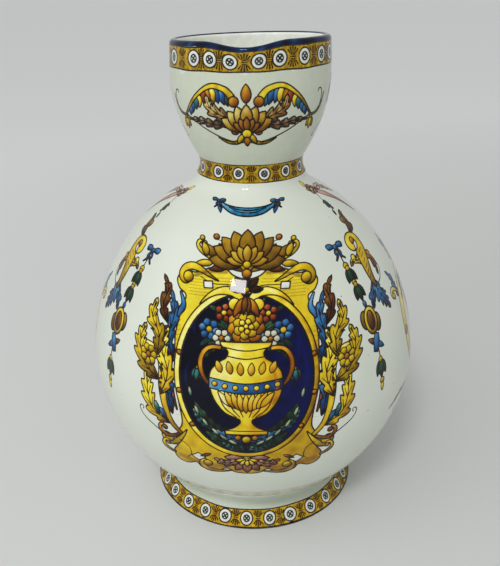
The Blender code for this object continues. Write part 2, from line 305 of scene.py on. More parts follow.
LOWER_WEDGES = {"lower_front": (-90, 180), "lower_back": (90, 180)}  # start and sweep in degrees
UPPER_WEDGES = {
    "front_left": (-60, 60), "front_right": (0, 60), "right": (60, 81), "back": (141, 78), "left": (219, 81),
}
sections = {"foot": turn("foot", foot_outline())}
for part, (start, sweep) in LOWER_WEDGES.items():
    sections[part] = turn(part, lower_outline(), False, start, sweep)
for part, (start, sweep) in UPPER_WEDGES.items():
    sections[part] = turn(part, upper_outline(), True, start, sweep)
sections["collar"] = turn("collar", collar_outline())
sections["cup"] = turn("cup", cup_outline())
print({name: len(mesh.polygons) for name, mesh in sections.items()})

# %% [markdown]
# ## Colours of the palette
#
# Tin-glaze painting uses few oxides: cobalt for blue, antimony for yellow, iron for orange and brown,
# copper for green, and manganese mixed with iron for the dark outlines. They are written as sRGB
# hex values and turned to linear light once, because Blender's attributes and sockets are linear.

# %% The palette


def linear(hex_colour):
    """The linear RGB of an sRGB hex colour, such as "e8b91e"."""
    srgb = np.array([int(hex_colour[k : k + 2], 16) / 255 for k in (0, 2, 4)])
    return np.where(srgb <= 0.04045, srgb / 12.92, ((srgb + 0.055) / 1.055) ** 2.4)


TIN_WHITE = linear("dfe3dc")
IRON_BROWN = linear("190d06")
UMBER = linear("4e2208")
COBALT_LINE = linear("070c20")

# %% [markdown]
# ## A brush in numbers
#
# A brush mark is a line of points on the map with a width, and a filled shape is a closed line with its
# colours. For every vertex of a section the painter works out how far it is from each mark. Two things are
# kept on the vertex: the pigment's colour, and the distance to the nearest dark outline. The
# glaze material later cuts the outline out of that distance, which keeps a thin line sharp on a coarse mesh.

# %% Marks and how they are placed
FAR = 3.0  # millimetres past which a mark isn't felt


def swell(count, width):
    """A width for each point: one number, a list, or (first, widest, last, where the widest is)."""
    if not isinstance(width, tuple):
        return np.broadcast_to(np.asarray(width, float), count).copy()
    first, widest, last, peak = (*width, 0.45)[:4]
    return np.interp(np.linspace(0, 1, count), [0, peak, 1], [first, widest, last])


SHADE_LEAN = (0.5, -1.0)  # the shadow side of a filled shape, across and along


def mark(kind, points, width, tones=None, ink=IRON_BROWN, lean=SHADE_LEAN, strength=1.0):
    """One brush mark in its motif's own millimetres."""
    points = np.asarray(points, float)
    widths = swell(len(points), width)
    return dict(
        kind=kind, points=points, widths=widths, tones=tones, ink=ink, lean=np.array(lean), strength=strength
    )


def line(points, width=0.8, ink=IRON_BROWN):
    return mark("line", points, width, ink=ink)


def fill(points, tones, outline=0.8, ink=IRON_BROWN, lean=SHADE_LEAN):
    return mark("fill", points, outline, tones, ink, lean)


def wash(points, width, tone, strength=0.8):
    return mark("wash", points, width, tones=(tone,), strength=strength)


def turning(degrees):
    """The matrix that turns rows of points."""
    cos, sin = math.cos(math.radians(degrees)), math.sin(math.radians(degrees))
    return np.array([[cos, sin], [-sin, cos]])


def place(marks, azimuth, arc, turn=0.0, scale=1.0, mirror=False):
    """Marks set on the pot at an azimuth and an arc length, turned, scaled or mirrored left to right."""
    spin = turning(turn) * scale
    flip = np.array([-1.0 if mirror else 1.0, 1.0])
    placed = []
    for one in marks:
        moved = dict(one)
        moved["points"] = (one["points"] * flip) @ spin
        moved["widths"] = one["widths"] * scale
        moved["lean"] = one["lean"] * flip
        moved["azimuth"], moved["arc"] = azimuth, arc
        placed.append(moved)
    return placed


# %% [markdown]
# The painter needs two measures of a place on the pot: how far it is from a brush line, and whether it lies
# inside a closed one. Both are worked out for a whole batch of vertices at once, which numpy does quickly.

# %% Measure vertices against a mark
BATCH = 3_000_000  # vertices times line pieces in one go, which keeps the memory small
TINY = 1e-9


def to_line(u, v, points, widths):
    """Each place's distance to a line's edge in millimetres, and the share along the line where it is nearest."""
    start, run = points[:-1], np.diff(points, axis=0)
    length2 = np.maximum((run**2).sum(1), TINY)
    best, along = np.empty(len(u)), np.empty(len(u))
    step = max(BATCH // len(start), 1)
    for first in range(0, len(u), step):
        part = slice(first, first + step)
        du, dv = u[part, None] - start[:, 0], v[part, None] - start[:, 1]
        share = np.clip((du * run[:, 0] + dv * run[:, 1]) / length2, 0, 1)
        gap = np.hypot(du - share * run[:, 0], dv - share * run[:, 1])
        gap -= (widths[:-1] + share * np.diff(widths)) / 2
        nearest = gap.argmin(1)
        rows = np.arange(len(nearest))
        best[part] = gap[rows, nearest]
        along[part] = (nearest + share[rows, nearest]) / len(start)
    return best, along


def is_inside(u, v, points):
    """True for each place inside a closed line."""
    start, end = points, np.roll(points, -1, axis=0)
    inside = np.zeros(len(u), bool)
    step = max(BATCH // len(start), 1)
    rise = end[:, 1] - start[:, 1]
    rise = np.where(np.abs(rise) < TINY, TINY, rise)
    for first in range(0, len(u), step):
        part = slice(first, first + step)
        pu, pv = u[part, None], v[part, None]
        spans = (start[:, 1] > pv) != (end[:, 1] > pv)
        crosses = pu < (end[:, 0] - start[:, 0]) * (pv - start[:, 1]) / rise + start[:, 0]
        inside[part] = (spans & crosses).sum(1) % 2 == 1
    return inside


# %% [markdown]
# ## Hand-mixed tones
#
# A painter loads the brush unevenly, so a leaf runs from a light yellow to an orange shadow, and the colour
# pools along the outline. Each filled shape takes three tones and a direction for its shadow, and a
# slow noise breaks up the change between them.

# %% Tones inside a filled shape


MM_PER_DEGREE, MOTTLE_HEIGHT = 1.9, 3.2
MOTTLE_WAVES = ((2.1, 0.6, 0.3), (-0.9, 2.4, 1.7), (1.3, -1.9, 2.9), (3.4, 1.1, 4.2), (-2.6, 3.1, 0.9))


def mottle(azimuth, arc, size):
    """A smooth hand-made unevenness from -1 to 1, about this many millimetres across."""
    a, b = azimuth * MM_PER_DEGREE / size, arc / size
    total = 0
    for across, along, phase in MOTTLE_WAVES:
        total = total + np.sin(across * a + along * b + phase + 1.6 * np.sin(0.7 * along * a - 0.6 * across * b))
    return total / MOTTLE_HEIGHT


def waver(azimuth, *waves):
    """How far a hand-drawn line all round strays, from waves of (millimetres, number in a turn, phase)."""
    return sum(tall * np.sin(np.radians(azimuth * count) + phase) for tall, count, phase in waves)


def blended(tones, share):
    """The colour part way along a row of tones."""
    tones = np.array(tones)
    place_in = np.clip(share, 0, 1) * (len(tones) - 1)
    low = np.minimum(place_in.astype(int), len(tones) - 2)
    part = (place_in - low)[:, None]
    return tones[low] * (1 - part) + tones[low + 1] * part


# %% [markdown]
# The painting is kept as one row per vertex. Marks are drawn in the painter's order: a fill covers the
# outlines under it, a wash only tints, and a line is remembered as a distance. The pigment is darker
# where it pools along an edge and on the shadow side of its shape.

# %% The painting on the vertices
WIDEST_MOTIF = 120  # degrees to each side of a motif's own azimuth
POOL_REACH_MM, UNEVEN_MM = 0.9, 6.0
FILL_TONE, SHADOW_PART, POOL_PART, UNEVEN_PART = 0.40, 0.58, 0.38, 0.14  # places in a shape's row of tones
BELT_TONE, BELT_PATCHES = 0.42, ((0.4, 0, 4.0), (0.25, 40, 1.7))  # (part of the row, shift in degrees, mm)
WASH_SOFTNESS, WASH_MESH_MM = 0.35, 0.6


class Painting:
    """What lies on each vertex: the pigment, how much it covers, and the distance to the nearest outline."""

    def __init__(self, azimuth, arc, radius):
        self.azimuth, self.arc, self.radius = azimuth, arc, radius
        count = len(azimuth)
        self.colour = np.tile(TIN_WHITE, (count, 1))
        self.cover = np.zeros(count)
        self.ink = np.full(count, FAR)
        self.ink_colour = np.tile(IRON_BROWN, (count, 1))
        self.edge = np.full(count, FAR)
        self.by_arc = np.argsort(arc)
        self.sorted_arc = arc[self.by_arc]

    def draw(self, marks):
        for one in marks:
            getattr(self, "_" + one["kind"])(one)
        return self

    def _near(self, one):
        """The vertices near a mark, and their places in the motif's own millimetres."""
        low, high = one["points"].min(0), one["points"].max(0)
        reach_mm = FAR + one["widths"].max() / 2
        span = np.array([low[1] - reach_mm, high[1] + reach_mm]) + one["arc"]
        first, last = np.searchsorted(self.sorted_arc, span)
        rows = self.by_arc[first:last]
        turned_by = (self.azimuth[rows] - one["azimuth"] + 180) % 360 - 180
        u = np.radians(turned_by) * self.radius[rows]
        near = (u > low[0] - reach_mm) & (u < high[0] + reach_mm) & (np.abs(turned_by) < WIDEST_MOTIF)
        return rows[near], u[near], self.arc[rows[near]] - one["arc"]

    def _outline(self, rows, gap, colour, covered=None):
        old = self.ink[rows]
        if covered is not None:
            old = np.where(covered, FAR, old)
        nearer = gap < old
        self.ink[rows] = np.where(nearer, gap, old)
        self.ink_colour[rows[nearer]] = colour
        self.edge[rows] = np.minimum(self.edge[rows], np.abs(gap))

    def _line(self, one):
        rows, u, v = self._near(one)
        if len(rows):
            gap, _ = to_line(u, v, one["points"], one["widths"])
            self._outline(rows, gap, one["ink"])

    def _fill(self, one):
        rows, u, v = self._near(one)
        if not len(rows):
            return
        ring = np.vstack([one["points"], one["points"][:1]])
        gap, _ = to_line(u, v, ring, np.zeros(len(ring)))
        inside = is_inside(u, v, one["points"])
        if one["tones"] is not None:
            within = rows[inside]
            middle, half = (ring.max(0) + ring.min(0)) / 2, (ring.max(0) - ring.min(0)) / 2
            lean = one["lean"] / np.abs(one["lean"]).sum()
            shadow = ((u[inside] - middle[0]) / half[0]) * lean[0] + ((v[inside] - middle[1]) / half[1]) * lean[1]
            pooled = np.exp(-gap[inside] / POOL_REACH_MM)
            uneven = mottle(self.azimuth[within], self.arc[within], UNEVEN_MM)
            share = FILL_TONE + SHADOW_PART * shadow + POOL_PART * pooled + UNEVEN_PART * uneven
            self.colour[within] = blended(one["tones"], share)
            self.cover[within] = 1.0
        self._outline(rows, gap - one["widths"][0] / 2, one["ink"], covered=inside)
        self.edge[rows] = np.minimum(self.edge[rows], gap)

    def _wash(self, one):
        rows, u, v = self._near(one)
        if not len(rows):
            return
        gap, _ = to_line(u, v, one["points"], one["widths"])
        soft = np.clip(-gap / (WASH_SOFTNESS * one["widths"].max() + 0.05), 0, 1) * one["strength"]
        self.colour[rows] += (one["tones"][0] - self.colour[rows]) * soft[:, None]
        self.cover[rows] = np.maximum(self.cover[rows], soft)
        self.edge[rows] = np.minimum(self.edge[rows], np.maximum(gap, 0) + WASH_MESH_MM)

    def _belt(self, one):
        """A band of colour all round, between two arcs whose edges waver as a hand-held brush does."""
        stray = waver(self.azimuth, (0.22, 5, one["arc"]), (0.15, 13, 2))
        low, high = one["points"][0, 1] + stray, one["points"][1, 1] + stray
        inside = (self.arc > low) & (self.arc < high)
        rows = np.flatnonzero((self.arc > low - FAR) & (self.arc < high + FAR))
        within = np.flatnonzero(inside)
        patches = [part * mottle(self.azimuth[within] + by, self.arc[within], size) for part, by, size in BELT_PATCHES]
        self.colour[within] = blended(one["tones"], sum(patches, BELT_TONE))
        self.cover[within] = 1.0
        gap = np.minimum(np.abs(self.arc - low), np.abs(self.arc - high))[rows]
        self._outline(rows, gap - one["widths"][0] / 2, one["ink"], covered=inside[rows])

    def _hoop(self, one):
        """A line all round at one arc, wavering a little."""
        stray = waver(self.azimuth, (0.2, 4, one["arc"]), (0.12, 11, 0))
        gap = np.abs(self.arc - one["arc"] - stray) - one["widths"][0] / 2
        rows = np.flatnonzero(gap < FAR)
        self._outline(rows, gap[rows], one["ink"])


def belt(low, high, tones):
    return place([mark("belt", [(0, low), (0, high)], 0.8, tones)], 0.0, low)


def hoop(arc, width, ink):
    return place([mark("hoop", [(0, 0), (0, 0)], width, ink=ink)], 0.0, arc)


# %% [markdown]
# ## A vocabulary of brush motifs
#
# Renaissance-style tin-glaze painting is put together from a few elements that a painter repeats from
# memory: scrolls, leaves, petals, husks, bows and shells. Each is a short function here that returns marks in
# its own millimetres, so a larger ornament is a list of such elements, placed, turned and mirrored.

# %% Curves


def smooth(points, steps=10, closed=False):
    """A flowing line through the points."""
    points = np.asarray(points, float)
    if closed:
        ends = np.vstack([points[-1:], points, points[:2]])
    else:
        ends = np.vstack([2 * points[0] - points[1], points, 2 * points[-1] - points[-2]])
    share = np.linspace(0, 1, steps, endpoint=False)[:, None]
    parts = []
    for before, start, end, after in zip(ends, ends[1:], ends[2:], ends[3:]):
        slope, pull, twist = end - before, 2 * before - 5 * start + 4 * end - after, 3 * (start - end) + after - before
        parts.append(start + 0.5 * (slope * share + pull * share**2 + twist * share**3))
    return np.vstack(parts if closed else parts + [points[-1:]])


PEN_STEP = 0.7


def wander(start, heading, bends):
    """A line that sets off at a heading in degrees and curls by (length, first bend, last bend) per mm."""
    angles = [math.radians(heading)]
    for length, first, last in bends:
        for bend_now in np.linspace(first, last, max(int(length / PEN_STEP), 2)):
            angles.append(angles[-1] + math.radians(bend_now) * PEN_STEP)
    moves = np.column_stack([np.cos(angles), np.sin(angles)]) * PEN_STEP
    return np.vstack([[start], np.array(start) + np.cumsum(moves, axis=0)])


def oval(width, height, steps=40):
    angles = np.linspace(0, 2 * math.pi, steps, endpoint=False)
    return np.column_stack([width / 2 * np.cos(angles), height / 2 * np.sin(angles)])


def loop(points):
    return np.vstack([points, points[:1]])


def with_mirror(half):
    """A closed outline from its right-hand half, whose first and last points lie on the middle line."""
    return half + [(-u, v) for u, v in half[-2:0:-1]]


def sideways(path):
    """The unit direction across a line at each of its points, to its left."""
    run = np.gradient(path, axis=0)
    run /= np.maximum(np.linalg.norm(run, axis=1), TINY)[:, None]
    return np.column_stack([-run[:, 1], run[:, 0]])


def both_sides(path, left, right):
    """The closed line round a path with its own width to the left and to the right."""
    across = sideways(path)
    return np.vstack([path + across * np.asarray(left)[:, None], (path - across * np.asarray(right)[:, None])[::-1]])


# %% [markdown]
# Each pigment is fired from thin to thick, so it is a short row of tones, from the light of a thin coat to the
# dark where it pools.

# %% Colours of the painter's palette
def tones(*colours):
    return [linear(colour) for colour in colours]


LEMON = tones("f4ee8e", "f0dc36", "d2aa14", "7c5008")
GOLD = tones("ecdc3c", "dab816", "a0800c", "5a3a06")
ORANGE = tones("e2ae2a", "bc7c10", "8a4c0a", "482206")
BLUE = tones("74a8cc", "2f72a8", "143f72", "0a1c3c")
BRONZE = tones("b48c1e", "8a640e", "5c3e08", "301c06")
SEA = tones("86b8ae", "347a7c", "14484e", "08242a")
GREEN = tones("3c6044", "1c402c", "10281e", "081610")
ROSE = tones("dab09c", "b07c68", "7c4a3a", "42221a")
BROWN = tones("a87a30", "784814", "4c260a", "261006")
RED = tones("d08858", "a84a22", "742a12", "42160a")
NIGHT = tones("020848", "01042a", "000216", "00010e")

# %% [markdown]
# One loaded stroke makes a petal, a strap or a disc. A leaf is a lobed shape with a vein to each lobe. Flowers,
# husks, shells and bows are a few strokes side by side, each lapping over the one before.

# %% Elements


def ribbon(path, widths, colours=GOLD, outline=0.75):
    half = swell(len(path), widths) / 2
    return [fill(both_sides(path, half, half), colours, outline)]


def disc(centre, size, colours=GOLD, outline=0.7):
    return [fill(oval(size, size, 20) + centre, colours, outline)]


def scroll(start, heading, bends, width, colours=GOLD):
    """A strap that curls up into a volute with a round eye."""
    path = wander(start, heading, bends)
    return ribbon(path, (0.6, width, width * 0.8), colours) + disc(path[-1], width * 1.45, colours, 0.75)


def petal(start, heading, length, width, colours=GOLD, outline=0.7, belly=0.6):
    """A drop-shaped petal or simple leaf."""
    share = np.linspace(0, 1, 12)
    spine = np.column_stack([share * length, np.zeros(12)])
    half = width / 2 * np.sin(math.pi * share ** (belly + 0.25)) ** 0.8
    return [fill(both_sides(spine, half, half) @ turning(heading) + start, colours, outline)]


def leaf(points, width, lobes=5, colours=GOLD, outline=0.85, veins=True):
    """An acanthus leaf along a curve, its lobes leaning towards the tip, each with a vein."""
    path = smooth(points, 16)
    share = np.linspace(0, 1, len(path))
    in_lobe = (lobes * share**1.1) % 1
    cut = 0.50 + 0.50 * np.sin(math.pi * in_lobe**1.7) ** 0.75
    half = np.sin(math.pi * share**0.72) ** 0.75 * cut * width / 2
    across = sideways(path)
    push = (cut - 0.5) * np.sin(math.pi * share) * width * 0.5
    ahead = np.column_stack([across[:, 1], -across[:, 0]]) * push[:, None]
    left, right = path + across * half[:, None] + ahead, path - across * half[:, None] + ahead
    marks = [fill(np.vstack([left, right[::-1]]), colours, outline)]
    if veins:
        marks.append(line(path[2:-3], (0.9, 0.7, 0.4)))
        for k in range(lobes):
            tip = int(((k + 0.62) / lobes) ** (1 / 1.1) * (len(path) - 1))
            root = max(tip - len(path) // (2 * lobes) - 1, 1)
            for edge in (left, right):
                if half[tip] > 1.4:
                    marks.append(line([path[root], 0.45 * path[tip] + 0.55 * edge[tip]], [0.65, 0.4]))
    return marks


def flower(centre, size, count, colours, heart=GOLD, turned_by=0.0):
    marks = []
    for k in range(count):
        angle = turned_by + 360 * k / count
        start = np.array(centre) + turning(angle)[0] * size * 0.12
        marks += petal(start, angle, size * 0.44, size * 0.40, colours, 0.55, 0.95)
    return marks + disc(centre, size * 0.32, heart, 0.55)


def husk(top, length, heading=-90, colours=GREEN):
    """A bellflower with three pointed lobes under a bead."""
    marks = []
    for lean, share in ((-24, 0.9), (24, 0.9), (0, 1.0)):
        marks += petal(top, heading + lean, length * share, length * 0.42, colours, 0.65)
    return marks + disc(top, length * 0.3, GOLD, 0.55)


def shell(centre, size, colours=ROSE, count=7, spread_angle=200, up=90):
    """A fan of ribs on a round hinge."""
    marks = []
    for k in sorted(range(count), key=lambda rib: -abs(rib - (count - 1) / 2)):
        angle = up + (k / (count - 1) - 0.5) * spread_angle
        marks += petal(centre, angle, size, size * 0.42, colours, 0.85, 0.95)
    return marks + disc(centre, size * 0.36, GOLD, 0.6)


def bow(centre, size):
    marks = []
    for side in (-1, 1):
        loops = [(0, 0), (side * 0.45, 0.42), (side * 1.0, 0.34), (side * 0.92, -0.12), (side * 0.4, -0.1)]
        marks.append(fill(smooth(np.array(loops) * size + centre, 8, closed=True), BLUE, 0.75))
        tail = np.array([(0, 0), (side * 0.3, -0.5), (side * 0.25, -0.9), (side * 0.6, -1.3)]) * size + centre
        marks += ribbon(smooth(tail, 8), (0.1 * size, 0.28 * size, 0.12 * size), BLUE, 0.7)
    return marks + disc(centre, size * 0.5, BLUE, 0.55)


def flipped(marks):
    return [dict(one, points=one["points"] * np.array([-1.0, 1.0])) for one in marks]


def mirrored(marks):
    """The marks and their mirror image, each with its twin beside it."""
    return [one for pair in zip(marks, flipped(marks)) for one in pair]


# %% [markdown]
# ## The bands
#
# A round-and-sunray border runs round the rim, the collar and the foot. On the real pot it is drawn
# freehand over a patchy ochre ground, so each roundel here is a slightly different oval.

# %% Band motifs
OCHRE = tones("cfaa1e", "a88610", "785c07")
PALE_OCHRE = tones("dfb624", "c09816", "8e6c0a")
PAPER = tones("e6e8e0", "e2e5dd", "d5d9cf")
BOTTLE_INK, RAY_INK = tones("0a1614", "200a03")
BAND_EDGE_MM = 1.3  # kept free of rays along each edge
HAND_LOW, HAND_HIGH = (0.88, -0.07, -0.25, -14), (1.03, 0.07, 0.25, 14)  # squeeze, shift, lift in mm, turn in degrees


def roundel(size, squeeze):
    """A white disc with a small ringed cross."""
    inner = oval(0.47 * size * squeeze, 0.47 * size, 24)
    arm = inner[[3, 15]], inner[[9, 21]]
    marks = [fill(oval(size * squeeze, size), PAPER, 0.85), line(loop(inner), 0.85, BOTTLE_INK)]
    return marks + [line(stroke, 0.95, BOTTLE_INK) for stroke in arm]


def sunrays(height, width):
    """Two fans of rays with short ticks between them, over a browner patch of ground."""
    tall = height / 2 - BAND_EDGE_MM
    marks = [wash([(0, -tall * 0.9), (0, tall * 0.9)], width * 0.95, linear("7e560a"), 0.4)]
    for side in (1, -1):
        for lean in (-46, -23, 0, 23, 46):
            cos, sin = turning(lean)[0]
            ray = [(sin * 2.7, side * 0.36 * tall), (sin * tall * 0.86, side * (tall * cos**0.8))]
            marks.append(line(ray, [0.45, 0.85], RAY_INK))
    for level, half in ((1.3, 1.2), (0.0, 1.8), (-1.3, 1.3)):
        marks.append(line([(-half, level), (half, level)], 0.45, RAY_INK))
    return marks


def band(low, high, count, first, size, seed, ground=OCHRE, moved=()):
    """A whole border between two arcs. Some roundels stand off the even pitch, as (number, degrees)."""
    vary = np.random.default_rng(seed)
    marks = belt(low, high, ground)
    middle, pitch = (low + high) / 2, 360 / count
    circumference = 2 * math.pi * radius_at(height_at(middle))
    room = circumference / count - size
    hand = vary.uniform(HAND_LOW, HAND_HIGH, (count, 4))
    azimuths = first + (np.arange(count) + hand[:, 1]) * pitch
    for number, degrees in moved:
        azimuths[number] += degrees
    for k, (squeeze, _, lift, turned) in enumerate(hand):
        gap = (azimuths[(k + 1) % count] - azimuths[k]) % 360
        marks += place(sunrays(high - low, room + (gap / pitch - 1) * size), azimuths[k] + gap / 2, middle + lift)
        marks += place(roundel(size, squeeze), azimuths[k], middle + lift, turn=turned)
    return marks


# %% [markdown]
# The border is tallest on the rim and on the foot's slanted face, and narrow on the collar. The rim's
# roundels stand unevenly, so a few of them are moved one by one.

# %% Band places
RIM_BAND_TALL, RIM_BAND_DROP, COLLAR_BAND_MARGIN = 13.8, 0.6, 0.2
FOOT_BAND_LIFT, FOOT_BAND_DROP, FOOT_LINE_LIFT, FOOT_LINE = 0.9, 0.3, 0.35, 1.3
MOVED_ON_RIM = ((1, 2.4), (4, 1.4), (18, 1.4), (19, 7.0), (20, 4.6))
top = arc_at(rim_turn) - RIM_BAND_DROP
rim_band = band(top - RIM_BAND_TALL, top, count=21, first=-12.0, size=9.9, seed=1, moved=MOVED_ON_RIM)
low, high = arc_at(collar_joint) + COLLAR_BAND_MARGIN, arc_at(cup_joint) - COLLAR_BAND_MARGIN
collar_band = band(low, high, count=14, first=-10.9, size=8.4, seed=2)
low, high = arc_at(FOOT_EDGE) + FOOT_BAND_LIFT, arc_at(FOOT_FACE_HEIGHT) - FOOT_BAND_DROP
foot_band = band(low, high, count=28, first=-2.1, size=10.4, seed=3, ground=PALE_OCHRE)
foot_band += hoop(arc_at(FOOT_EDGE) + FOOT_LINE_LIFT, FOOT_LINE, COBALT_LINE)
print(len(rim_band) + len(collar_band) + len(foot_band), "marks in the bands")


# %% [markdown]
# ## The medallion
#
# The front carries a tall cobalt oval in an ochre strapwork frame. This design sets a footed urn of flowers
# on the blue ground, under a fan palmette, with acanthus at the sides and a shell below. The marks
# go from back to front, as each fill covers what lies under it.

# %% The frame of the medallion
OVAL_WIDE, OVAL_TALL = 87.0, 108.0
HATCH = linear("8a5c08")


def frame_back():
    half = [
        (0, 64), (8, 66), (15, 71), (24, 70), (33, 66), (42, 66), (47, 60), (45, 54), (40, 50), (43, 40), (47, 24),
        (47, 6), (46, -14), (43, -34), (47, -44), (47, -54), (51, -62), (49, -70), (42, -73), (35, -70), (31, -75),
        (22, -77), (14, -72), (8, -76), (0, -77),
    ]
    marks = [fill(smooth(with_mirror(half), 6, closed=True), tones("e8d632", "dab716", "a87a0e"), 0.9)]
    for level in range(52, 66, 2):
        marks += mirrored([wash([(8 + (level - 57) ** 2 * 0.05, level), (38, level - 0.6)], 0.7, HATCH, 0.75)])
    side = [
        scroll((18, 62), 24, [(16, 1.5, -2), (16, -5, -9), (9, -16, -30)], 5.0, GOLD),
        scroll((40, -40), -62, [(14, 0.5, 1.5), (12, 6, 14), (8, 20, 34)], 5.0, GOLD),
        scroll((10, -74), -16, [(14, 1, 2), (12, 6, 12), (6, 22, 36)], 4.4, GOLD),
        ribbon(smooth([(44, 52), (41.5, 44), (46, 36), (49.5, 24)], 8), (1.2, 4.2, 1.0), BLUE),
        ribbon(smooth([(50.5, 12), (51.5, 0), (49.5, -14), (46.5, -26)], 8), (1.0, 3.6, 1.0), ROSE),
        [line(smooth([(30, 63.5), (22, 60), (12, 60), (4, 58)], 8), 0.5)],
        [line(smooth([(46, -50), (40, -54), (38, -61), (41, -66)], 8), 0.5)],
    ]
    for part in side:
        marks += mirrored(part)
    for level in range(-30, 46, 3):
        marks += mirrored([wash([(47.5, level), (43.5, level + 0.8)], 0.7, HATCH, 0.7)])
    marks += mirrored([wash(smooth([(46, -66), (30, -70), (14, -70)], 8), 8.0, linear("7c4408"), 0.6)])
    marks += mirrored([wash(smooth([(13, 68), (24, 67.5), (34, 64)], 8), 3.4, linear("6e3c26"), 0.7)])
    return marks


def frame_rings():
    marks = [fill(oval(OVAL_WIDE + 8.6, OVAL_TALL + 8.6, 90), LEMON, 0.8, lean=(0.9, -0.5))]
    marks.append(fill(oval(OVAL_WIDE + 1.6, OVAL_TALL + 1.6, 90), ORANGE, 0.5, lean=(0.9, -0.5)))
    marks.append(fill(oval(OVAL_WIDE, OVAL_TALL, 90), NIGHT, 0.8, COBALT_LINE, lean=(-0.9, 0.2)))
    return marks


def frame_front():
    """Scrolls that lap over the top of the oval, and clasps on its ring."""
    marks = []
    lap = scroll((30, 46), 128, [(16, 1.5, 3), (20, 3, 8), (10, 14, 30)], 5.4, LEMON)
    marks += mirrored(lap)
    marks += mirrored(petal((1.5, 52), -62, 14, 5.0, ORANGE))
    marks += mirrored(petal((0.5, 53), -84, 12, 4.0, BROWN))
    marks += shell((0, 57), 10.5, tones("4a2a12", "1e0e06", "0a0502"), 5, 176) + disc((0, 67.5), 6.0, ORANGE)
    marks += mirrored([fill(np.array([(21.5, 57), (27.5, 56.6), (28, 61), (22, 61.5)], float), PAPER, 0.8)])
    for angle in (-38, -12, 14):
        spot = turning(angle)[0] * (OVAL_WIDE / 2 + 2, OVAL_TALL / 2 + 2)
        marks += mirrored(disc(spot, 3.6, ORANGE))
    return marks


# %% [markdown]
# The urn is a vase such as pattern books show: a gadrooned bowl on a turned foot, a blue belt of beads and two
# handles, light where the glaze is thin and ochre on its shadow side. Flowers, a mound of leaves and
# lighter streaks of the cobalt brush fill the dark ground round it.

# %% The urn and its flowers
def urn():
    """A two-handled footed vase with gadroons and a beaded band, about 60 mm tall."""
    half = [
        (0, -39), (13.5, -39), (13.5, -36), (8, -33.5), (4.2, -30), (4.2, -27.5), (7, -26), (14, -22.5), (20.5, -14),
        (23.5, -4), (22.5, 5), (17, 11), (12.5, 14), (11.5, 18), (15.5, 21.5), (16.5, 24), (0, 24),
    ]
    outline = smooth(half[1:-1], 5)
    whole = np.vstack([outline, outline[::-1] * np.array([-1, 1])])
    handle = wander((15.5, 20), 8, [(10, -1, -9), (20, -5, -3), (14, -3, -12), (6, -22, -34)])
    marks = mirrored(ribbon(handle, (2.6, 3.4, 1.6), ORANGE) + disc(handle[-1], 3.4, ORANGE))
    marks.append(fill(whole, tones("f2ea84", "ecda36", "d6ac14", "96640c"), 0.9, lean=(0.9, -0.35)))
    for u in (4.5, 9.5, 14.5):
        rib = smooth([(u * 0.42, -25.5), (u * 0.95, -19), (u * 1.25, -9)], 8)
        marks += mirrored([line(rib, (0.5, 0.9, 0.5), UMBER)])
    gadroon = tones("f0de5c", "d8a818", "8a540c")
    for u in (-18.3, -13.7, -9.1, -4.6, 0, 4.6, 9.1, 13.7, 18.3):
        marks += petal((u * 0.5, -22.5 + abs(u) * 0.22), 90 - u * 2.2, 13.5, 4.4, gadroon, 0.55)
    belt_low = smooth([(-23.8, -6.5), (0, -9.5), (23.8, -6.5)], 12)
    belt_high = smooth([(-23.6, 0.5), (0, -2.5), (23.6, 0.5)], 12)
    marks.append(fill(np.vstack([belt_low, belt_high[::-1]]), BLUE, 0.7, lean=(0.9, -0.3)))
    for u in (-20, -13.4, -6.7, 0, 6.7, 13.4, 20):
        marks += disc((u, -5.6 + (u / 23) ** 2 * 3), 3.6, LEMON, 0.55)
    upper_gadroon = tones("f0de5c", "cc9a16", "824e0a")
    for u in (-15, -9, -3, 3, 9, 15):
        marks += petal((u * 1.05, 2.4 + abs(u) * 0.12), 90 - u * 1.4, 8.5, 4.4, upper_gadroon, 0.5)
    for ends, middle in ((12, 15), 13.4), ((14.5, 20.6), 18.6):
        marks.append(line(smooth([(-ends[0], ends[1]), (0, middle), ends], 8), 0.7))
    marks.append(line([(-12.5, -36), (12.5, -36)], 0.6))
    marks.append(wash(smooth([(17.5, -16), (20, -4), (17, 7)], 8), 3.2, linear("a85a0c"), 0.55))
    marks.append(wash(smooth([(-13, -18), (-16.5, -8)], 8), 3.4, linear("f7f3b4"), 0.8))
    return marks


def bouquet():
    marks = []
    sprays = [
        ([(4, 24), (16, 33), (31, 33)], 9, GREEN), ([(5, 24), (18, 28), (30, 20)], 8, SEA),
        ([(3, 26), (12, 40), (24, 46)], 8, GREEN), ([(2, 26), (4, 42), (12, 52)], 7, SEA),
        ([(8, 22), (22, 20), (31, 8)], 7, GREEN),
    ]
    for points, width, colours in sprays:
        marks += mirrored(leaf(points, width, 4, colours, outline=0.5))
    marks += mirrored(husk((31, 6), 9, -80, SEA))
    marks += mirrored(flower((23.5, 31), 13, 6, BLUE, GOLD, 12))
    marks += mirrored(flower((14, 42), 11, 5, RED, LEMON, 30))
    marks += mirrored(flower((15.5, 26), 11, 6, tones("e6e4d4", "ccccb4", "8f8e74"), ORANGE, 0))
    for ring, count, colours in ((22, 9, ORANGE), (15.5, 7, GOLD), (9.5, 5, LEMON)):
        marks += flower((0, 34), ring, count, colours, LEMON, ring * 7)
    return marks


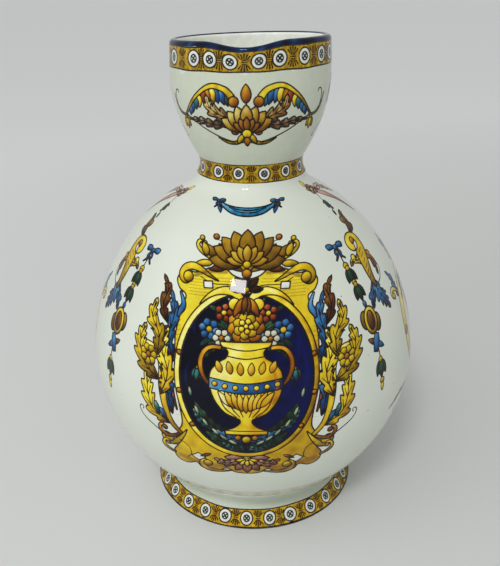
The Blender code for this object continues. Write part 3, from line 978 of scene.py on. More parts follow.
def mound():
    """Leaves and grasses at the urn's foot, in the greens and blues of the ground."""
    marks = []
    rows = [
        ([(2, -41), (16, -38), (30, -27)], 10, SEA), ([(0, -45), (14, -47), (27, -38)], 9, GREEN),
        ([(8, -40), (22, -33), (34, -17)], 8, GREEN), ([(0, -43), (10, -42), (20, -36)], 8, BLUE),
        ([(20, -37), (29, -31), (35, -22)], 6, SEA), ([(0, -49), (8, -51), (16, -46)], 6, SEA),
    ]
    for points, width, colours in rows:
        marks += mirrored(leaf(points, width, 5, colours, outline=0.5))
    for u, v, lean in ((6, -47, 30), (12, -44, 38), (18, -40, 48), (25, -34, 56), (31, -26, 66), (36, -14, 78)):
        marks += mirrored(petal((u, v), lean, 7, 2.2, tones("dcdcae", "9cb48c", "3c6a5c"), 0.4))
    marks += disc((0, -43), 6.0, GOLD) + mirrored(disc((5.5, -41.5), 4.2, ORANGE))
    return marks


def blue_streaks():
    """The lighter strokes of the cobalt brush that show through the dark ground."""
    marks = []
    for u, low, high, width in (
        (38, -14, 22, 5.0), (33, 10, 34, 4.0), (-38.5, -10, 10, 3.5), (28, 34, 44, 5.0), (-33, 26, 36, 3.0),
    ):
        path = smooth([(u, low), (u * 1.03, (low + high) / 2), (u * 0.95, high)], 8)
        marks.append(wash(path, (1.0, width, 1.0), linear("041858"), 0.55))
    return marks


# %% [markdown]
# Outside the oval the frame carries a fan palmette on top, acanthus and a rosette at each side, a hooked scroll
# at the lower corners and a shell below. Right-hand halves are drawn once and mirrored.

# %% The crest, the flanks and the apron
def crest():
    marks = []
    stem = wander((3, 71), 8, [(18, 1.2, 0.6), (14, -1.5, 5), (10, 12, 30)])
    marks += mirrored(ribbon(stem, (4.6, 3.6, 2.0), GOLD) + disc(stem[-1], 4.2, ORANGE))
    for start, heading, length, width, colours in (
        ((12, 75), 62, 14, 6.5, BRONZE), ((19, 76.5), 48, 13, 6.0, BRONZE), ((26, 78), 70, 10, 5.0, GOLD),
        ((12, 72), -14, 13, 5.0, BROWN), ((22, 73.5), -6, 12, 4.6, GOLD),
    ):
        marks += mirrored(petal(start, heading, length, width, colours))
    marks += mirrored(disc((20.5, 92), 4.2, ORANGE) + disc((30.5, 90), 3.6, GOLD))
    marks += mirrored([line(smooth([(14, 84), (17, 89), (20.5, 90)], 6), 0.5), line([(28, 86), (30.4, 88.5)], 0.5)])
    marks += shell((0, 73.5), 25, BRONZE, 9, 168)
    marks += shell((0, 73.5), 14, tones("d8bc3c", "a87e14", "66420a"), 7, 150)
    return marks


def flank():
    """The right-hand acanthus beside the oval, with blue under-leaves and a rosette."""
    marks = []
    marks += leaf([(49, 6), (52, 22), (48, 38), (51, 52)], 9, 5, BLUE)
    marks += leaf([(53, 30), (57, 40), (54, 52), (58, 60)], 8, 4, BROWN)
    stem = wander((44, -44), 38, [(16, 1.5, 2.5), (30, 1.2, 0.4), (22, -2.0, -6), (16, -9, -20)])
    marks += leaf([(50, -30), (53, -16), (51, -2), (52, 8)], 9, 4, BLUE)
    marks += leaf([(52, -38), (66, -30), (70, -14), (66, 4)], 13, 6, LEMON)
    marks += ribbon(stem, (3.0, 5.6, 2.6), LEMON)
    marks += leaf([(59, -18), (53, -2), (57, 14), (52, 28)], 13, 6, LEMON)
    marks += leaf([(60, -8), (72, 0), (76, 14), (71, 26)], 14, 6, GOLD)
    marks += leaf([(61, 8), (60, 22), (66, 32), (62, 44)], 12, 5, GOLD)
    marks += flower(stem[-1], 13, 7, GOLD, ORANGE, 20)
    marks += petal((64, -24), 250, 10, 4, SEA) + petal((60, -28), 236, 9, 4, BLUE)
    for k in range(5):
        marks += disc((59 - k * 0.5, -14 + 4.2 * k), 1.5, BROWN, 0.4)
    return marks


def flourish():
    """The hooked scroll at the lower corner, and the thin pen line that leaves it."""
    hook = wander((46, -45), -38, [(8, 2, 4), (10, 8, 10), (8, 14, 34)])
    marks = ribbon(hook, (2.0, 3.4, 1.8), ORANGE) + disc(hook[-1], 4.0, BROWN)
    pen = wander((58, -49), 32, [(16, -1, 1), (10, 2, 8), (7, 24, 44)])
    marks.append(line(pen, (0.9, 0.8, 0.6)))
    low = wander((50, -64), 10, [(8, 3, 5), (8, 10, 16), (5, 24, 44)])
    marks += ribbon(low, (2.0, 3.0, 1.6), GOLD) + disc(low[-1], 3.4, ORANGE)
    return marks


def apron():
    marks = shell((0, -61), 15, tones("cfa690", "8e5c4a", "4e2a22"), 7, 190, -90)
    marks += mirrored(leaf([(4, -62), (14, -66), (22, -62)], 8, 4, ROSE))
    marks += shell((0, -61), 8, LEMON, 5, 150, -90)
    marks += mirrored([fill(np.array([(28, -63), (33, -59), (38, -63), (33, -67)], float), PAPER, 0.8)])
    marks += mirrored(petal((24, -58), -30, 9, 3, BROWN, 0.4))
    return marks


medallion = frame_back() + crest() + mirrored(flank()) + mirrored(flourish()) + frame_rings() + blue_streaks()
medallion += mound() + bouquet() + urn() + frame_front() + apron()
print(len(medallion), "marks in the medallion")

# %% [markdown]
# ## Swag, festoons and sprays
#
# Small ornaments fill the shoulder and the sides, as in a printed pattern book: a blue cloth swag under the
# neck, a husk-and-bead festoon with an acanthus scroll on each side of the medallion, light sprays of ribbon
# above them, and an upright ornament in an oval strap at each side. The back has a bunch of flowers.

# %% The swag under the neck
def swag():
    top = smooth([(-22, 7.5), (-12, 3.5), (0, 2.2), (12, 3.5), (22, 7.5)], 10)
    low = smooth([(22, 7.5), (19, 2.5), (11, -3.8), (0, -6.0), (-11, -3.8), (-19, 2.5), (-22, 7.5)], 10)
    marks = [fill(np.vstack([top, low]), tones("78b6cc", "2f86ac", "12466e"), 1.2, COBALT_LINE)]
    for sag, wide in ((-0.4, 17.5), (-2.9, 14)):
        fold = np.array([(-1, 5.0), (-0.5, 1.4), (0, 0.2), (0.5, 1.4), (1, 5.0)]) * (wide, 1) + (0, sag)
        marks.append(line(smooth(fold, 8), (0.5, 1.3, 0.5, 0.5), COBALT_LINE))
    ends = petal((22, 7), -100, 11, 3.6, tones("5f9cc8", "1f5a9c", "0c2a5c"), 0.6) + bow((22.5, 8), 5.4)
    return marks + mirrored(ends)


# %% [markdown]
# The festoon hangs from a bow: beads, husks and an oval boss on a cobalt cord, 110 mm from the bow to the last
# bead. Beside it stands a yellow volute, whose strap swells and thins as the brush is pressed.

# %% The festoon, its scroll and the spray
def festoon():
    marks = [line(smooth([(0, 0), (2.2, -25), (6.8, -55), (9.2, -84), (9.9, -104)], 10), 1.0, COBALT_LINE)]
    marks += bow((0, 1), 7.5)
    marks += disc((1.3, -14), 5) + husk((1.6, -16), 12.5, -86) + disc((2.6, -27), 4.4) + husk((2.9, -28.5), 13, -83)
    marks += petal((4.4, -41), -76, 6, 3.4, BLUE)
    for across, drop in ((-6.0, -1.5), (6.0, 3.0)):
        marks.append(fill(oval(8.5, 13) + (6.8 + across, -56 - drop), BRONZE, 1.0))
    marks += [fill(oval(13.5, 20) + (6.8, -56), GOLD, 1.1), fill(oval(8.0, 14) + (6.8, -56), BROWN, 0.8)]
    marks += [line([(6.8 + u, -51.5 + abs(u)), (6.8 + u, -60.5 - abs(u) / 2)], 0.4) for u in (-2.0, 0.0, 2.0)]
    for heading in (150, -32):
        marks += petal((7.6, -73), heading, 9.5, 4.2, BROWN if heading > 0 else BLUE, 0.6)
    marks += ribbon(smooth([(9.8, -66.5), (7.8, -72), (5.4, -79)], 6), (4.0, 6.6, 4.4), BLUE, 0.9)
    marks += husk((9.4, -86), 14.5, -90) + disc((9.9, -102.5), 4.8) + petal((9.9, -104), -90, 7, 3.4, LEMON, 0.7)
    return marks


def bracket():
    """A bold acanthus scroll beside the festoon: a yellow volute with a bud and a blue tail of leaves."""
    spine = wander((25, -37), 112, [(26, -1.6, -1.2), (10, 0.5, 5.0), (26, 9.0, 22.0)])
    marks = leaf([(22, -31), (20, -38), (15, -43), (14, -50)], 9, 3, BLUE)
    marks += leaf([(23.5, -31), (25, -41), (30, -48), (36, -57)], 13, 5, BLUE)
    marks += leaf([(23, 5), (28, 11), (26, 18), (30, 24)], 9, 3, BRONZE)
    marks += leaf([(22, -8), (16, -14), (11, -12), (6, -16)], 7.5, 3, LEMON)
    marks += leaf([(25, -12), (31, -15), (34, -24), (33, -31)], 7, 3, ORANGE)
    marks += ribbon(spine, (3.0, 12.0, 3.6, 0.42), GOLD, 1.0) + disc(spine[-1], 5.0, ORANGE)
    marks += [line([(25.6 - k * 0.5, -7 - 4 * k), (21.6 - k * 0.2, -9.5 - 4 * k)], 0.5) for k in range(6)]
    return marks + [line(wander((28, -36), 18, [(10, 2, 5), (10, 7, 12), (7, 20, 40)]), (1.1, 0.8, 0.6))]


def spray():
    """A pale ribbon spray with a small green pendant."""
    marks = ribbon(smooth([(0, 0), (-9, -8), (-17, -18), (-26, -32)], 8), (2.5, 5.4, 1.0, 0.3), ROSE, 0.6)
    pale = tones("e2c2aa", "c49a80", "8a5c48")
    marks += leaf([(-3, -1), (-12, 0), (-19, -5), (-26, -13)], 6.5, 4, pale, outline=0.55)
    marks += flower((0, 1), 9, 5, ROSE, LEMON, 20)
    marks += petal((2, 4), 62, 7, 3.2, LEMON, 0.4)
    marks.append(line(smooth([(1, -3), (3, -9), (2, -15), (5, -20)], 8), 0.55))
    marks += leaf([(2, -10), (3.5, -14), (2, -19)], 5.5, 3, GREEN, outline=0.4, veins=False)
    return marks + petal((4.5, -19), -70, 5, 2, GREEN, 0.4)


# %% [markdown]
# At each side an upright ornament grows from a small vase inside an oval strap. The back, where the handle is,
# carries a bunch of flowers instead, tied with a blue bow.

# %% Ornaments for the sides and the back
def candelabrum():
    """An upright ornament in a wide oval strap: a vase, paired scrolls, husks and a palmette."""
    strap = tones("ece29a", "d6bc4c", "a2842a", "624612")
    marks = mirrored(leaf([(36, 28), (41, 35), (40, 44), (44, 52)], 8, 4, BLUE))
    marks += mirrored(scroll((37, 30), 52, [(10, -1, -3), (9, -8, -16), (5, -22, -36)], 3.4, strap))
    marks += mirrored(leaf([(30, -34), (46, -39), (62, -40), (78, -46)], 6, 6, BROWN))
    marks += mirrored([line(wander((32, -36), -34, [(32, -0.4, 0.6), (9, 6, 14), (6, 22, 40)]), (1.1, 0.9, 0.6))])
    marks += ribbon(loop(oval(89, 81, 90)) + (0, 3), 9, strap, 0.85) + mirrored(disc((44.5, 3), 7, ORANGE))
    half = (
        leaf([(2, -52), (14, -58), (24, -50), (22, -38)], 11, 5, GOLD)
        + scroll((2, -30), 12, [(14, 1, 3), (22, 4, 8), (12, 12, 30)], 4.6, GOLD)
        + leaf([(6, -29), (16, -34), (28, -32), (36, -22)], 9, 5, BLUE)
        + leaf([(3, 8), (14, 4), (22, 12), (20, 24)], 12, 5, LEMON)
        + scroll((2, 26), 20, [(12, -1, -3), (18, -4, -9), (10, -14, -30)], 4.2, ORANGE)
        + leaf([(4, 30), (14, 36), (24, 34), (32, 24)], 8, 5, BLUE)
        + leaf([(2, 48), (9, 54), (12, 64), (8, 72)], 8, 4, GREEN)
        + [line(wander((22, -50), -20, [(14, 2, 4), (9, 14, 40)]), 0.8)]
        + [line(wander((20, 24), 40, [(12, -3, -5), (9, -16, -40)]), 0.8)]
    )
    marks += mirrored(half)
    marks += ribbon(smooth([(0, -66), (0, -30), (0, 10), (0, 50)], 8), (1.6, 3.4, 1.2), GOLD)
    body = [(0, -8), (7, -6), (9, 0), (5, 8), (4, 12), (6, 15), (0, 15)]
    marks.append(fill(smooth(with_mirror(body), 6, closed=True), BLUE, 0.7))
    marks += shell((0, 15), 13, GOLD, 7, 170) + husk((0, -10), 14, -90, GREEN) + husk((0, -62), 14, -90, GREEN)
    marks += shell((0, 50), 17, ROSE, 7, 160) + shell((0, 50), 9, LEMON, 5, 140)
    for level in (-44, -38, 36, 42):
        marks += disc((0, level), 5.0 if level % 4 else 3.8, ORANGE)
    return marks


def back_spray():
    """A bunch of flowers tied with a blue bow, for the back of the body under the handle."""
    marks = []
    for points, width, colours in (
        ([(0, -10), (14, 6), (34, 10), (48, 2)], 11, GREEN), ([(0, -8), (10, 18), (28, 30), (44, 28)], 11, SEA),
        ([(0, -6), (4, 24), (16, 42), (20, 56)], 10, GREEN), ([(1, -14), (18, -14), (34, -20), (40, -30)], 9, SEA),
    ):
        marks += mirrored(leaf(points, width, 6, colours))
    marks += mirrored(ribbon(wander((1, -16), -72, [(26, 1, -1), (14, -3, -8)]), (1.2, 1.8, 0.8), GREEN))
    marks += mirrored(flower((30, 18), 17, 7, BLUE, LEMON, 10) + flower((19, 36), 15, 6, ORANGE, LEMON, 24))
    marks += mirrored(flower((34, -6), 13, 5, RED, LEMON, 40) + husk((45, 30), 10, 20, ROSE))
    for ring, count, colours in ((36, 11, ORANGE), (26, 9, GOLD), (17, 7, LEMON), (9, 5, ORANGE)):
        marks += flower((0, 14), ring, count, colours, LEMON, ring * 5)
    marks += flower((0, 47), 14, 7, ROSE, LEMON, 0) + bow((0, -14), 15)
    return marks


# %% [markdown]
# The cup repeats the body's elements in thinner strokes: a fan palmette between two arches of coloured plumes
# in front, a small scroll with a flower at each side. The handle has blue edges and a row of leaves.

# %% The cup's and the handle's ornaments
def cup_scrollwork():
    """A palmette between two feathered arches, with bellflowers and thin tendrils."""
    half = []
    spine = smooth([(9, 10), (14, 15), (24, 16.5), (36, 9), (46, -3)], 10)
    plumes = [SEA, BLUE, BLUE, LEMON, ORANGE, RED, LEMON, SEA, BLUE, BLUE]
    for k, colours in enumerate(plumes):
        at = spine[12 + int(k * (len(spine) - 16) / len(plumes))]
        half += petal(at - (0, 0.5), -112 + 3.2 * k, 11.5 - 0.45 * k, 4.6, colours, 0.5)
    half += ribbon(spine, (4.6, 3.6, 1.4, 0.3), GOLD)
    half += disc((8.0, 7.5), 6.6, ORANGE)
    half += leaf([(6, -4), (15, -2), (24, 3), (27, 11)], 10, 5, tones("ece2a0", "c8aa5c", "7a5228", "3c2212"))
    half += leaf([(8, -6), (20, -8), (32, -6), (44, -6)], 6.5, 6, tones("b89c7c", "785a40", "3c281a"))
    half += disc((7.5, -12), 5.0, ORANGE)
    vine = smooth([(3, -20), (12, -19), (28, -12), (44, -4), (54, -3)], 10)
    half.append(line(vine, (1.6, 0.8, 0.9)))
    half += ribbon(smooth([(2, -13), (5, -19.5), (12, -20.5), (19, -17)], 8), (3.0, 2.8, 0.6), GOLD)
    half += husk((47, -5), 9, -100, GOLD)
    tail = smooth([(44, -4), (52, -3), (58, 2), (61, 9)], 8)
    half += ribbon(tail, (1.2, 2.2, 0.6), tones("c4ac54", "8c7430", "4c3810"), 0.55)
    half.append(line(wander((55, -1), 60, [(10, 2, 4), (8, 10, 34)]), 0.8))
    marks = mirrored(half) + shell((0, -13), 19, tones("dccc74", "b88e26", "7c5210", "3e2408"), 7, 120)
    marks += shell((0, -13), 11, tones("bc7e24", "84500e", "482808"), 5, 100)
    marks += petal((0, 6.5), 90, 12, 6.5, ORANGE) + mirrored(petal((2.5, -14), -64, 8, 3.6, GOLD))
    return marks + disc((0, -13.5), 6.0, LEMON) + petal((0, -16), -90, 7, 4.0, ORANGE)


LEAF_PITCH = 13


def strap_ornament(length):
    """Blue edging and a row of ochre leaves down the rib of the handle."""
    marks = []
    for side in (-1, 1):
        edge = smooth([(side * 11.6, 8), (side * 10.6, length / 2), (side * 11.6, length - 8)], 12)
        half = np.full(len(edge), 1.5)
        marks.append(fill(both_sides(edge, half, half), BLUE, 0.5, COBALT_LINE))
    for k in range(int((length - 30) / LEAF_PITCH)):
        level = 20 + LEAF_PITCH * k
        marks += mirrored(petal((0.8, level), 52, 9.5, 4.0, GOLD if k % 2 else ORANGE, 0.5))
        marks += disc((0, level), 3.0, BLUE, 0.5)
    return marks


def cup_side():
    """A small scroll with a flower, for the sides and back of the cup."""
    stem = wander((-16, -10), 52, [(12, -1, -4), (14, -5, -9), (8, -14, -32)])
    marks = leaf([(-14, -8), (-6, -12), (4, -10), (12, -14)], 8, 5, SEA)
    marks += ribbon(stem, (1.4, 4.0, 2.0), GOLD) + disc(stem[-1], 4.0, ORANGE)
    marks += leaf([(-12, -2), (-16, 6), (-12, 13), (-15, 19)], 8, 4, BLUE)
    marks += flower((4, 6), 14, 7, ORANGE, LEMON, 10) + husk((13, -13), 9, -70, GREEN)
    pen = wander((-15, -11), 200, [(10, 2, 4), (8, 8, 36)])
    return marks + [line(pen, (1.1, 0.8, 0.6))]


# %% [markdown]
# The painter marks out the places first: the medallion in front, the swag above it, then the ornaments that
# come in pairs. The left-hand ones stand a little further round and lower, as a freehand layout does.
# A few specks of cobalt have fallen on the raw glaze.

# %% Place the ornaments on the body
FESTOON_TOP, SPRAY_TOP = 109.5, 155.0
SIDE_ORNAMENTS = (
    (bracket() + festoon(), 43.6, FESTOON_TOP, 0.95),
    (flipped(spray()), 66.0, SPRAY_TOP, 1.05),
    (candelabrum(), 92.0, 26.0, 1.0),
    (flipped(bracket() + festoon()), 140.0, FESTOON_TOP, 0.95),
)
LEFT_SHIFT, LEFT_DROP = -5.2, 5.5  # degrees and millimetres
SPECKS, SPECK_SEED = 40, 8
body_marks = place(medallion, -0.2, 33.5) + place(swag(), -1.0, 147.6, scale=0.9)
for marks, azimuth, arc, size in SIDE_ORNAMENTS:
    body_marks += place(marks, azimuth, arc, scale=size)
    body_marks += place(marks, LEFT_SHIFT - azimuth, arc - LEFT_DROP, scale=size, mirror=True)
body_marks += place(back_spray(), 180.0, 25.0)
scatter = np.random.default_rng(SPECK_SEED)
for _ in range(SPECKS):
    speck = [line([(0, 0), (0.3, 0.1)], scatter.uniform(0.25, 0.55), COBALT_LINE)]
    body_marks += place(speck, scatter.uniform(-180, 180), scatter.uniform(-60, 150))
print(len(body_marks), "marks on the body")

# %% [markdown]
# ## A mesh as fine as the brush
#
# A turned section starts with faces about three millimetres wide. Where a mark is near, its edges are
# subdivided again and again until they are finer than the line, and the new vertices are put back on the
# skin. So the mesh is dense along the drawing and stays light on the white ground.

# %% Refine a section round its marks
FINEST_MM = 0.40
GRADE = 0.55  # how much wider an edge may be for each millimetre away from a line
FILL_SPACING_MM = 1.3
LEVELS = 4
OFF_THE_MAP = 1e4  # an arc that no mark reaches
TOO_LONG, HALF_COVERED = 1.5, 0.5
SKIN_DEPTH_MM, HAIR_MM = 0.15, 0.01  # how near the skin a vertex counts as on it


def read(rows, key, width, kind=float):
    """One property of all vertices, edges or attribute values, as a table."""
    values = np.empty(len(rows) * width, kind)
    rows.foreach_get(key, values)
    return values.reshape(-1, width)


def vertex_table(mesh):
    """The vertices in millimetres."""
    return read(mesh.vertices, "co", 3) / MM


def set_vertices(mesh, table):
    mesh.vertices.foreach_set("co", (table * MM).ravel())
    mesh.update()


def round_the_axis(table):
    """Each vertex's azimuth in degrees and its distance from the axis."""
    return np.degrees(np.arctan2(table[:, 0], -table[:, 1])), np.hypot(table[:, 0], table[:, 1])


def on_the_map(table):
    """Azimuth, arc and radius of vertices, and which of them lie on the outer skin."""
    azimuth, radius = round_the_axis(table)
    height = table[:, 2]
    skin_there = radius_at(height)
    between = (height <= rim_turn + HAIR_MM) & (height >= FOOT_EDGE - HAIR_MM)
    return azimuth, arc_at(height), skin_there, (np.abs(radius - skin_there) < SKIN_DEPTH_MM) & between


def cut_ngons(shape):
    bmesh.ops.triangulate(shape, faces=[face for face in shape.faces if len(face.verts) > 4])


def painted(mesh, marks, find=on_the_map):
    azimuth, arc, radius, on_skin = find(vertex_table(mesh))
    return Painting(azimuth, np.where(on_skin, arc, OFF_THE_MAP), radius).draw(marks), on_skin


def refine(mesh, marks, find=on_the_map, settle=True):
    """Subdivides a section's skin near its marks and puts the new vertices back on the skin."""
    for _ in range(LEVELS):
        painting, on_skin = painted(mesh, marks, find)
        ends = read(mesh.edges, "vertices", 2, int)
        table = vertex_table(mesh)
        length = np.linalg.norm(table[ends[:, 0]] - table[ends[:, 1]], axis=1)
        near = np.clip(painting.edge[ends].min(1) - length / 2, 0, None)
        wanted = FINEST_MM + GRADE * near
        inside = painting.cover[ends].max(1) > HALF_COVERED
        wanted = np.where(inside, np.minimum(wanted, FILL_SPACING_MM), wanted)
        split = (length > TOO_LONG * wanted) & on_skin[ends].all(1)
        if not split.any():
            break
        shape = bmesh.new()
        shape.from_mesh(mesh)
        chosen = [edge for edge, cut in zip(shape.edges, split) if cut]
        bmesh.ops.subdivide_edges(shape, edges=chosen, cuts=1, use_grid_fill=True)
        cut_ngons(shape)
        shape.to_mesh(mesh)
        shape.free()
        if not settle:
            continue
        table = vertex_table(mesh)
        _, _, radius, on_skin = find(table)
        pull = np.where(on_skin, radius / np.maximum(round_the_axis(table)[1], TINY), 1.0)
        table[:, :2] *= pull[:, None]
        set_vertices(mesh, table)


def store(mesh, name, kind, values):
    layer = mesh.attributes.new(name, kind, "POINT")
    layer.data.foreach_set("value" if kind == "FLOAT" else "color", np.ascontiguousarray(values).ravel())


def paint(mesh, marks, find=on_the_map, settle=True):
    """Refines a section and writes the painting on its vertices."""
    refine(mesh, marks, find, settle)
    painting, _ = painted(mesh, marks, find)
    store(mesh, "ink", "FLOAT", painting.ink)
    store(mesh, "ink_colour", "FLOAT_COLOR", np.column_stack([painting.ink_colour, np.ones(len(painting.ink))]))
    store(mesh, "pigment", "FLOAT_COLOR", np.column_stack([painting.colour, painting.cover]))
    triangles = sum(len(face.vertices) - 2 for face in mesh.polygons)
    print(f"{mesh.name}: {len(marks)} marks, {triangles} triangles")


# %% [markdown]
# ## The strap handle
#
# A handle is pulled from a lump of clay, bent while soft and luted on at the back. Its middle line is a
# cubic curve from the cup to the shoulder. One ring of the section is extruded along that curve, and a
# layer on the ring remembers each vertex's place round the strap, so that every new ring can be set in
# shape after its extrusion.

# %% Handle
HANDLE_WIDTH, HANDLE_THICKNESS, HANDLE_RIB = 30.0, 11.0, 2.2
HANDLE_TOP_DROP, HANDLE_FOOT_LEVEL, HANDLE_FINGER_GAP = 23.0, 83.0, 52.0
HANDLE_RISE, HANDLE_LIFT, HANDLE_ROOT = 13.0, 36.0, 2.0
HANDLE_FLARE, HANDLE_FLARE_REACH, HANDLE_ROUNDNESS = 0.30, 0.22, 0.70
STRAP_STATIONS, STRAP_SIDES, ROOT_DEPTH = 90, 48, 0.6
OFF_THE_STRAP = 1e3  # the place across of a vertex that isn't on the outer face


def root_inside(radius):
    half_width = HANDLE_WIDTH * (1 + HANDLE_FLARE) / 2
    return math.sqrt(radius**2 - half_width**2) - HANDLE_ROOT


def strap_line():
    """The strap's middle line as rows of (distance from the axis, height)."""
    top, foot = rim_top - HANDLE_TOP_DROP, belly + HANDLE_FOOT_LEVEL
    start = np.array([root_inside(float(cup_wall(top, CUP_FOOT_RADIUS, cup_radius))), top])
    end = np.array([root_inside(float(radius_at(foot))), foot])
    out = cup_radius + HANDLE_FINGER_GAP + HANDLE_THICKNESS / 2
    pull = (8 * out - start[0] - end[0]) / 6
    one, two = np.array([pull, top + HANDLE_RISE]), np.array([pull, foot + HANDLE_LIFT])
    share = np.linspace(0, 1, STRAP_STATIONS + 1)[:, None]
    rest = 1 - share
    return rest**3 * start + 3 * rest**2 * share * one + 3 * rest * share**2 * two + share**3 * end


def strap_section(thickness, width):
    """Rows of (across, outward) round the strap: flat inside, with a soft rib outside."""
    angles = np.linspace(0, 2 * math.pi, STRAP_SIDES, endpoint=False)
    across, outward = np.cos(angles), np.sin(angles)
    rib = HANDLE_RIB * np.clip(outward, 0, None) * np.cos(across * math.pi)
    flat = np.sign(outward) * np.abs(outward) ** HANDLE_ROUNDNESS
    return np.column_stack([across * width / 2, flat * thickness / 2 + rib])


def build_strap():
    middle = strap_line()
    along = np.gradient(middle, axis=0)
    along /= np.linalg.norm(along, axis=1)[:, None]
    outward = np.column_stack([-along[:, 1], along[:, 0]])
    travelled = np.concatenate([[0], np.cumsum(np.linalg.norm(np.diff(middle, axis=0), axis=1))])
    shape = bmesh.new()
    side_of = shape.verts.layers.int.new("side")
    placed_along = shape.verts.layers.float.new("along")
    placed_across = shape.verts.layers.float.new("across")
    ring = bmesh.ops.create_circle(shape, cap_ends=True, segments=STRAP_SIDES, radius=MM)["verts"]
    for vert in ring:
        vert[side_of] = int(round(math.atan2(vert.co.y, vert.co.x) / (2 * math.pi) * STRAP_SIDES)) % STRAP_SIDES
    edges = list(shape.edges)
    for station, (point, out) in enumerate(zip(middle, outward)):
        if station:
            new = bmesh.ops.extrude_edge_only(shape, edges=edges)["geom"]
            ring = [one for one in new if isinstance(one, bmesh.types.BMVert)]
            edges = [one for one in new if isinstance(one, bmesh.types.BMEdge)]
        share = station / STRAP_STATIONS
        near_end = max(1 - min(share, 1 - share) / HANDLE_FLARE_REACH, 0.0) ** 2
        flare = 1 + HANDLE_FLARE * near_end
        section = strap_section(HANDLE_THICKNESS * flare, HANDLE_WIDTH * flare)
        for vert in ring:
            across, outside = section[vert[side_of]]
            vert.co = np.array([across, *(point + out * outside)]) * MM
            round_way = vert[side_of] / STRAP_SIDES
            vert[placed_along] = travelled[station]
            vert[placed_across] = across if 0 <= round_way <= 0.5 else OFF_THE_STRAP
    shape.faces.new(sorted(ring, key=lambda vert: vert[side_of]))
    bmesh.ops.recalc_face_normals(shape, faces=shape.faces)
    for vert in shape.verts:
        x, y, z = np.array(vert.co) / MM
        skin_there = float(radius_at(min(z, rim_turn))) - ROOT_DEPTH
        if y < math.sqrt(max(skin_there**2 - x**2, 0)):
            vert.co.y = math.sqrt(skin_there**2 - x**2) * MM
    cut_ngons(shape)
    return finished(shape, "handle"), travelled[-1]


strap_mesh, strap_length = build_strap()
print(f"the strap is {strap_length:.0f} mm long, {len(strap_mesh.polygons)} faces")

# %% [markdown]
# ## Painting the strap
#
# The strap has its own map: millimetres along it and across it, kept on its vertices. The same brush works
# on it, as if the strap were rolled out round a wide cylinder.

# %% The strap's map
STRAP_DRUM = 100.0  # millimetres, the radius of the cylinder that the strap is thought to be rolled on


def on_the_strap(_):
    across, along = (read(strap_mesh.attributes[name].data, "value", 1)[:, 0] for name in ("across", "along"))
    return np.degrees(across / STRAP_DRUM), along, np.full(len(along), STRAP_DRUM), across < OFF_THE_STRAP / 2


# %% [markdown]
# ## Glaze
#
# Tin glaze is a glossy opaque white coat on buff earthenware, and the painting sinks into it, so ground and
# colours share one smooth surface. The eye sees soft reflections that waver a little, a white that turns
# slightly green where the coat is thick, brush streaks in the pigments and slightly ragged outlines. The
# material reads the painting from the vertices, cuts the outline from the distance to the nearest brush
# line, and adds noise at real scales: streaks of 1.6 mm, pools of 7 mm and waves of 16 mm. Where the pot
# stands, the glaze was wiped off, and the bare clay shows.

# %% A helper for nodes
MIX_A, MIX_B, MIX_OUT = 6, 7, 2  # the colour sockets of a Mix node


def add_node(tree, kind, inputs, output=0, **settings):
    """Adds a node with its settings, sets or links its inputs, and returns one of its outputs, if it has any."""
    node = tree.nodes.new(kind)
    for name, value in settings.items():
        setattr(node, name, value)
    for socket, value in inputs.items():
        if isinstance(value, bpy.types.NodeSocket):
            tree.links.new(value, node.inputs[socket])
        else:
            node.inputs[socket].default_value = value
    return node.outputs[output] if node.outputs else node


def rgba(colour):
    return (*[float(channel) for channel in colour], 1.0)


# %% [markdown]
# The white ground is mixed from a thin and a thick coat by slow clouds, and the pigment is laid over it as far
# as it covers, deepened by streaks and pools. In a Map Range node, socket 0 is the value, 1 and 2 are the range
# that it comes in, and 3 and 4 the range that it is turned into.

# %% Tin-glazed earthenware
THICK_GLAZE, THIN_GLAZE, BUFF_CLAY = linear("d7ded0"), linear("dfe4d9"), linear("c9a67c")
STREAK_MM, POOL_MM, WAVE_MM, PEEL_MM, CLOUD_MM, RAG_MM = 1.6, 7.0, 16.0, 2.6, 70.0, 0.9
BARE_BELOW_MM, GLOSS_LEVEL = 0.45, 0.22

glaze = bpy.data.materials.new("tin_glazed_earthenware")
glaze.use_nodes = True
tree = glaze.node_tree
tree.nodes.clear()
place_on_pot = add_node(tree, "ShaderNodeTexCoord", {}, "Object")
noise = {
    size: add_node(tree, "ShaderNodeTexNoise", {"Vector": place_on_pot, "Scale": 1000 / size, "Detail": detail})
    for size, detail in zip((STREAK_MM, POOL_MM, WAVE_MM, PEEL_MM, CLOUD_MM, RAG_MM), (3.0, 2.0, 1.0, 2.0, 2.0, 2.0))
}
cloudy = add_node(tree, "ShaderNodeMapRange", {0: noise[CLOUD_MM], 1: 0.35, 2: 0.65, 3: 0, 4: 1})
whites = {0: cloudy, MIX_A: rgba(THIN_GLAZE), MIX_B: rgba(THICK_GLAZE)}
ground = add_node(tree, "ShaderNodeMix", whites, MIX_OUT, data_type="RGBA")
streaky = add_node(tree, "ShaderNodeMapRange", {0: noise[STREAK_MM], 1: 0.3, 2: 0.7, 3: 0.93, 4: 1.05})
pooled = add_node(tree, "ShaderNodeMapRange", {0: noise[POOL_MM], 1: 0.3, 2: 0.7, 3: 0.90, 4: 1.05})
depth = add_node(tree, "ShaderNodeMath", {0: streaky, 1: pooled}, operation="MULTIPLY")
# The pigment layer also holds the painted shade on the cup's outside and the painted light inside it.
pigment = add_node(tree, "ShaderNodeAttribute", {}, "Color", attribute_name="pigment")
cover = add_node(tree, "ShaderNodeAttribute", {}, "Alpha", attribute_name="pigment")
deepened = {0: 1.0, MIX_A: pigment, MIX_B: depth}
tone = add_node(tree, "ShaderNodeMix", deepened, MIX_OUT, data_type="RGBA", blend_type="MULTIPLY")
laid_over = {0: cover, MIX_A: ground, MIX_B: tone}
painted_ground = add_node(tree, "ShaderNodeMix", laid_over, MIX_OUT, data_type="RGBA")
print(len(tree.nodes), "nodes for the ground and the pigments")

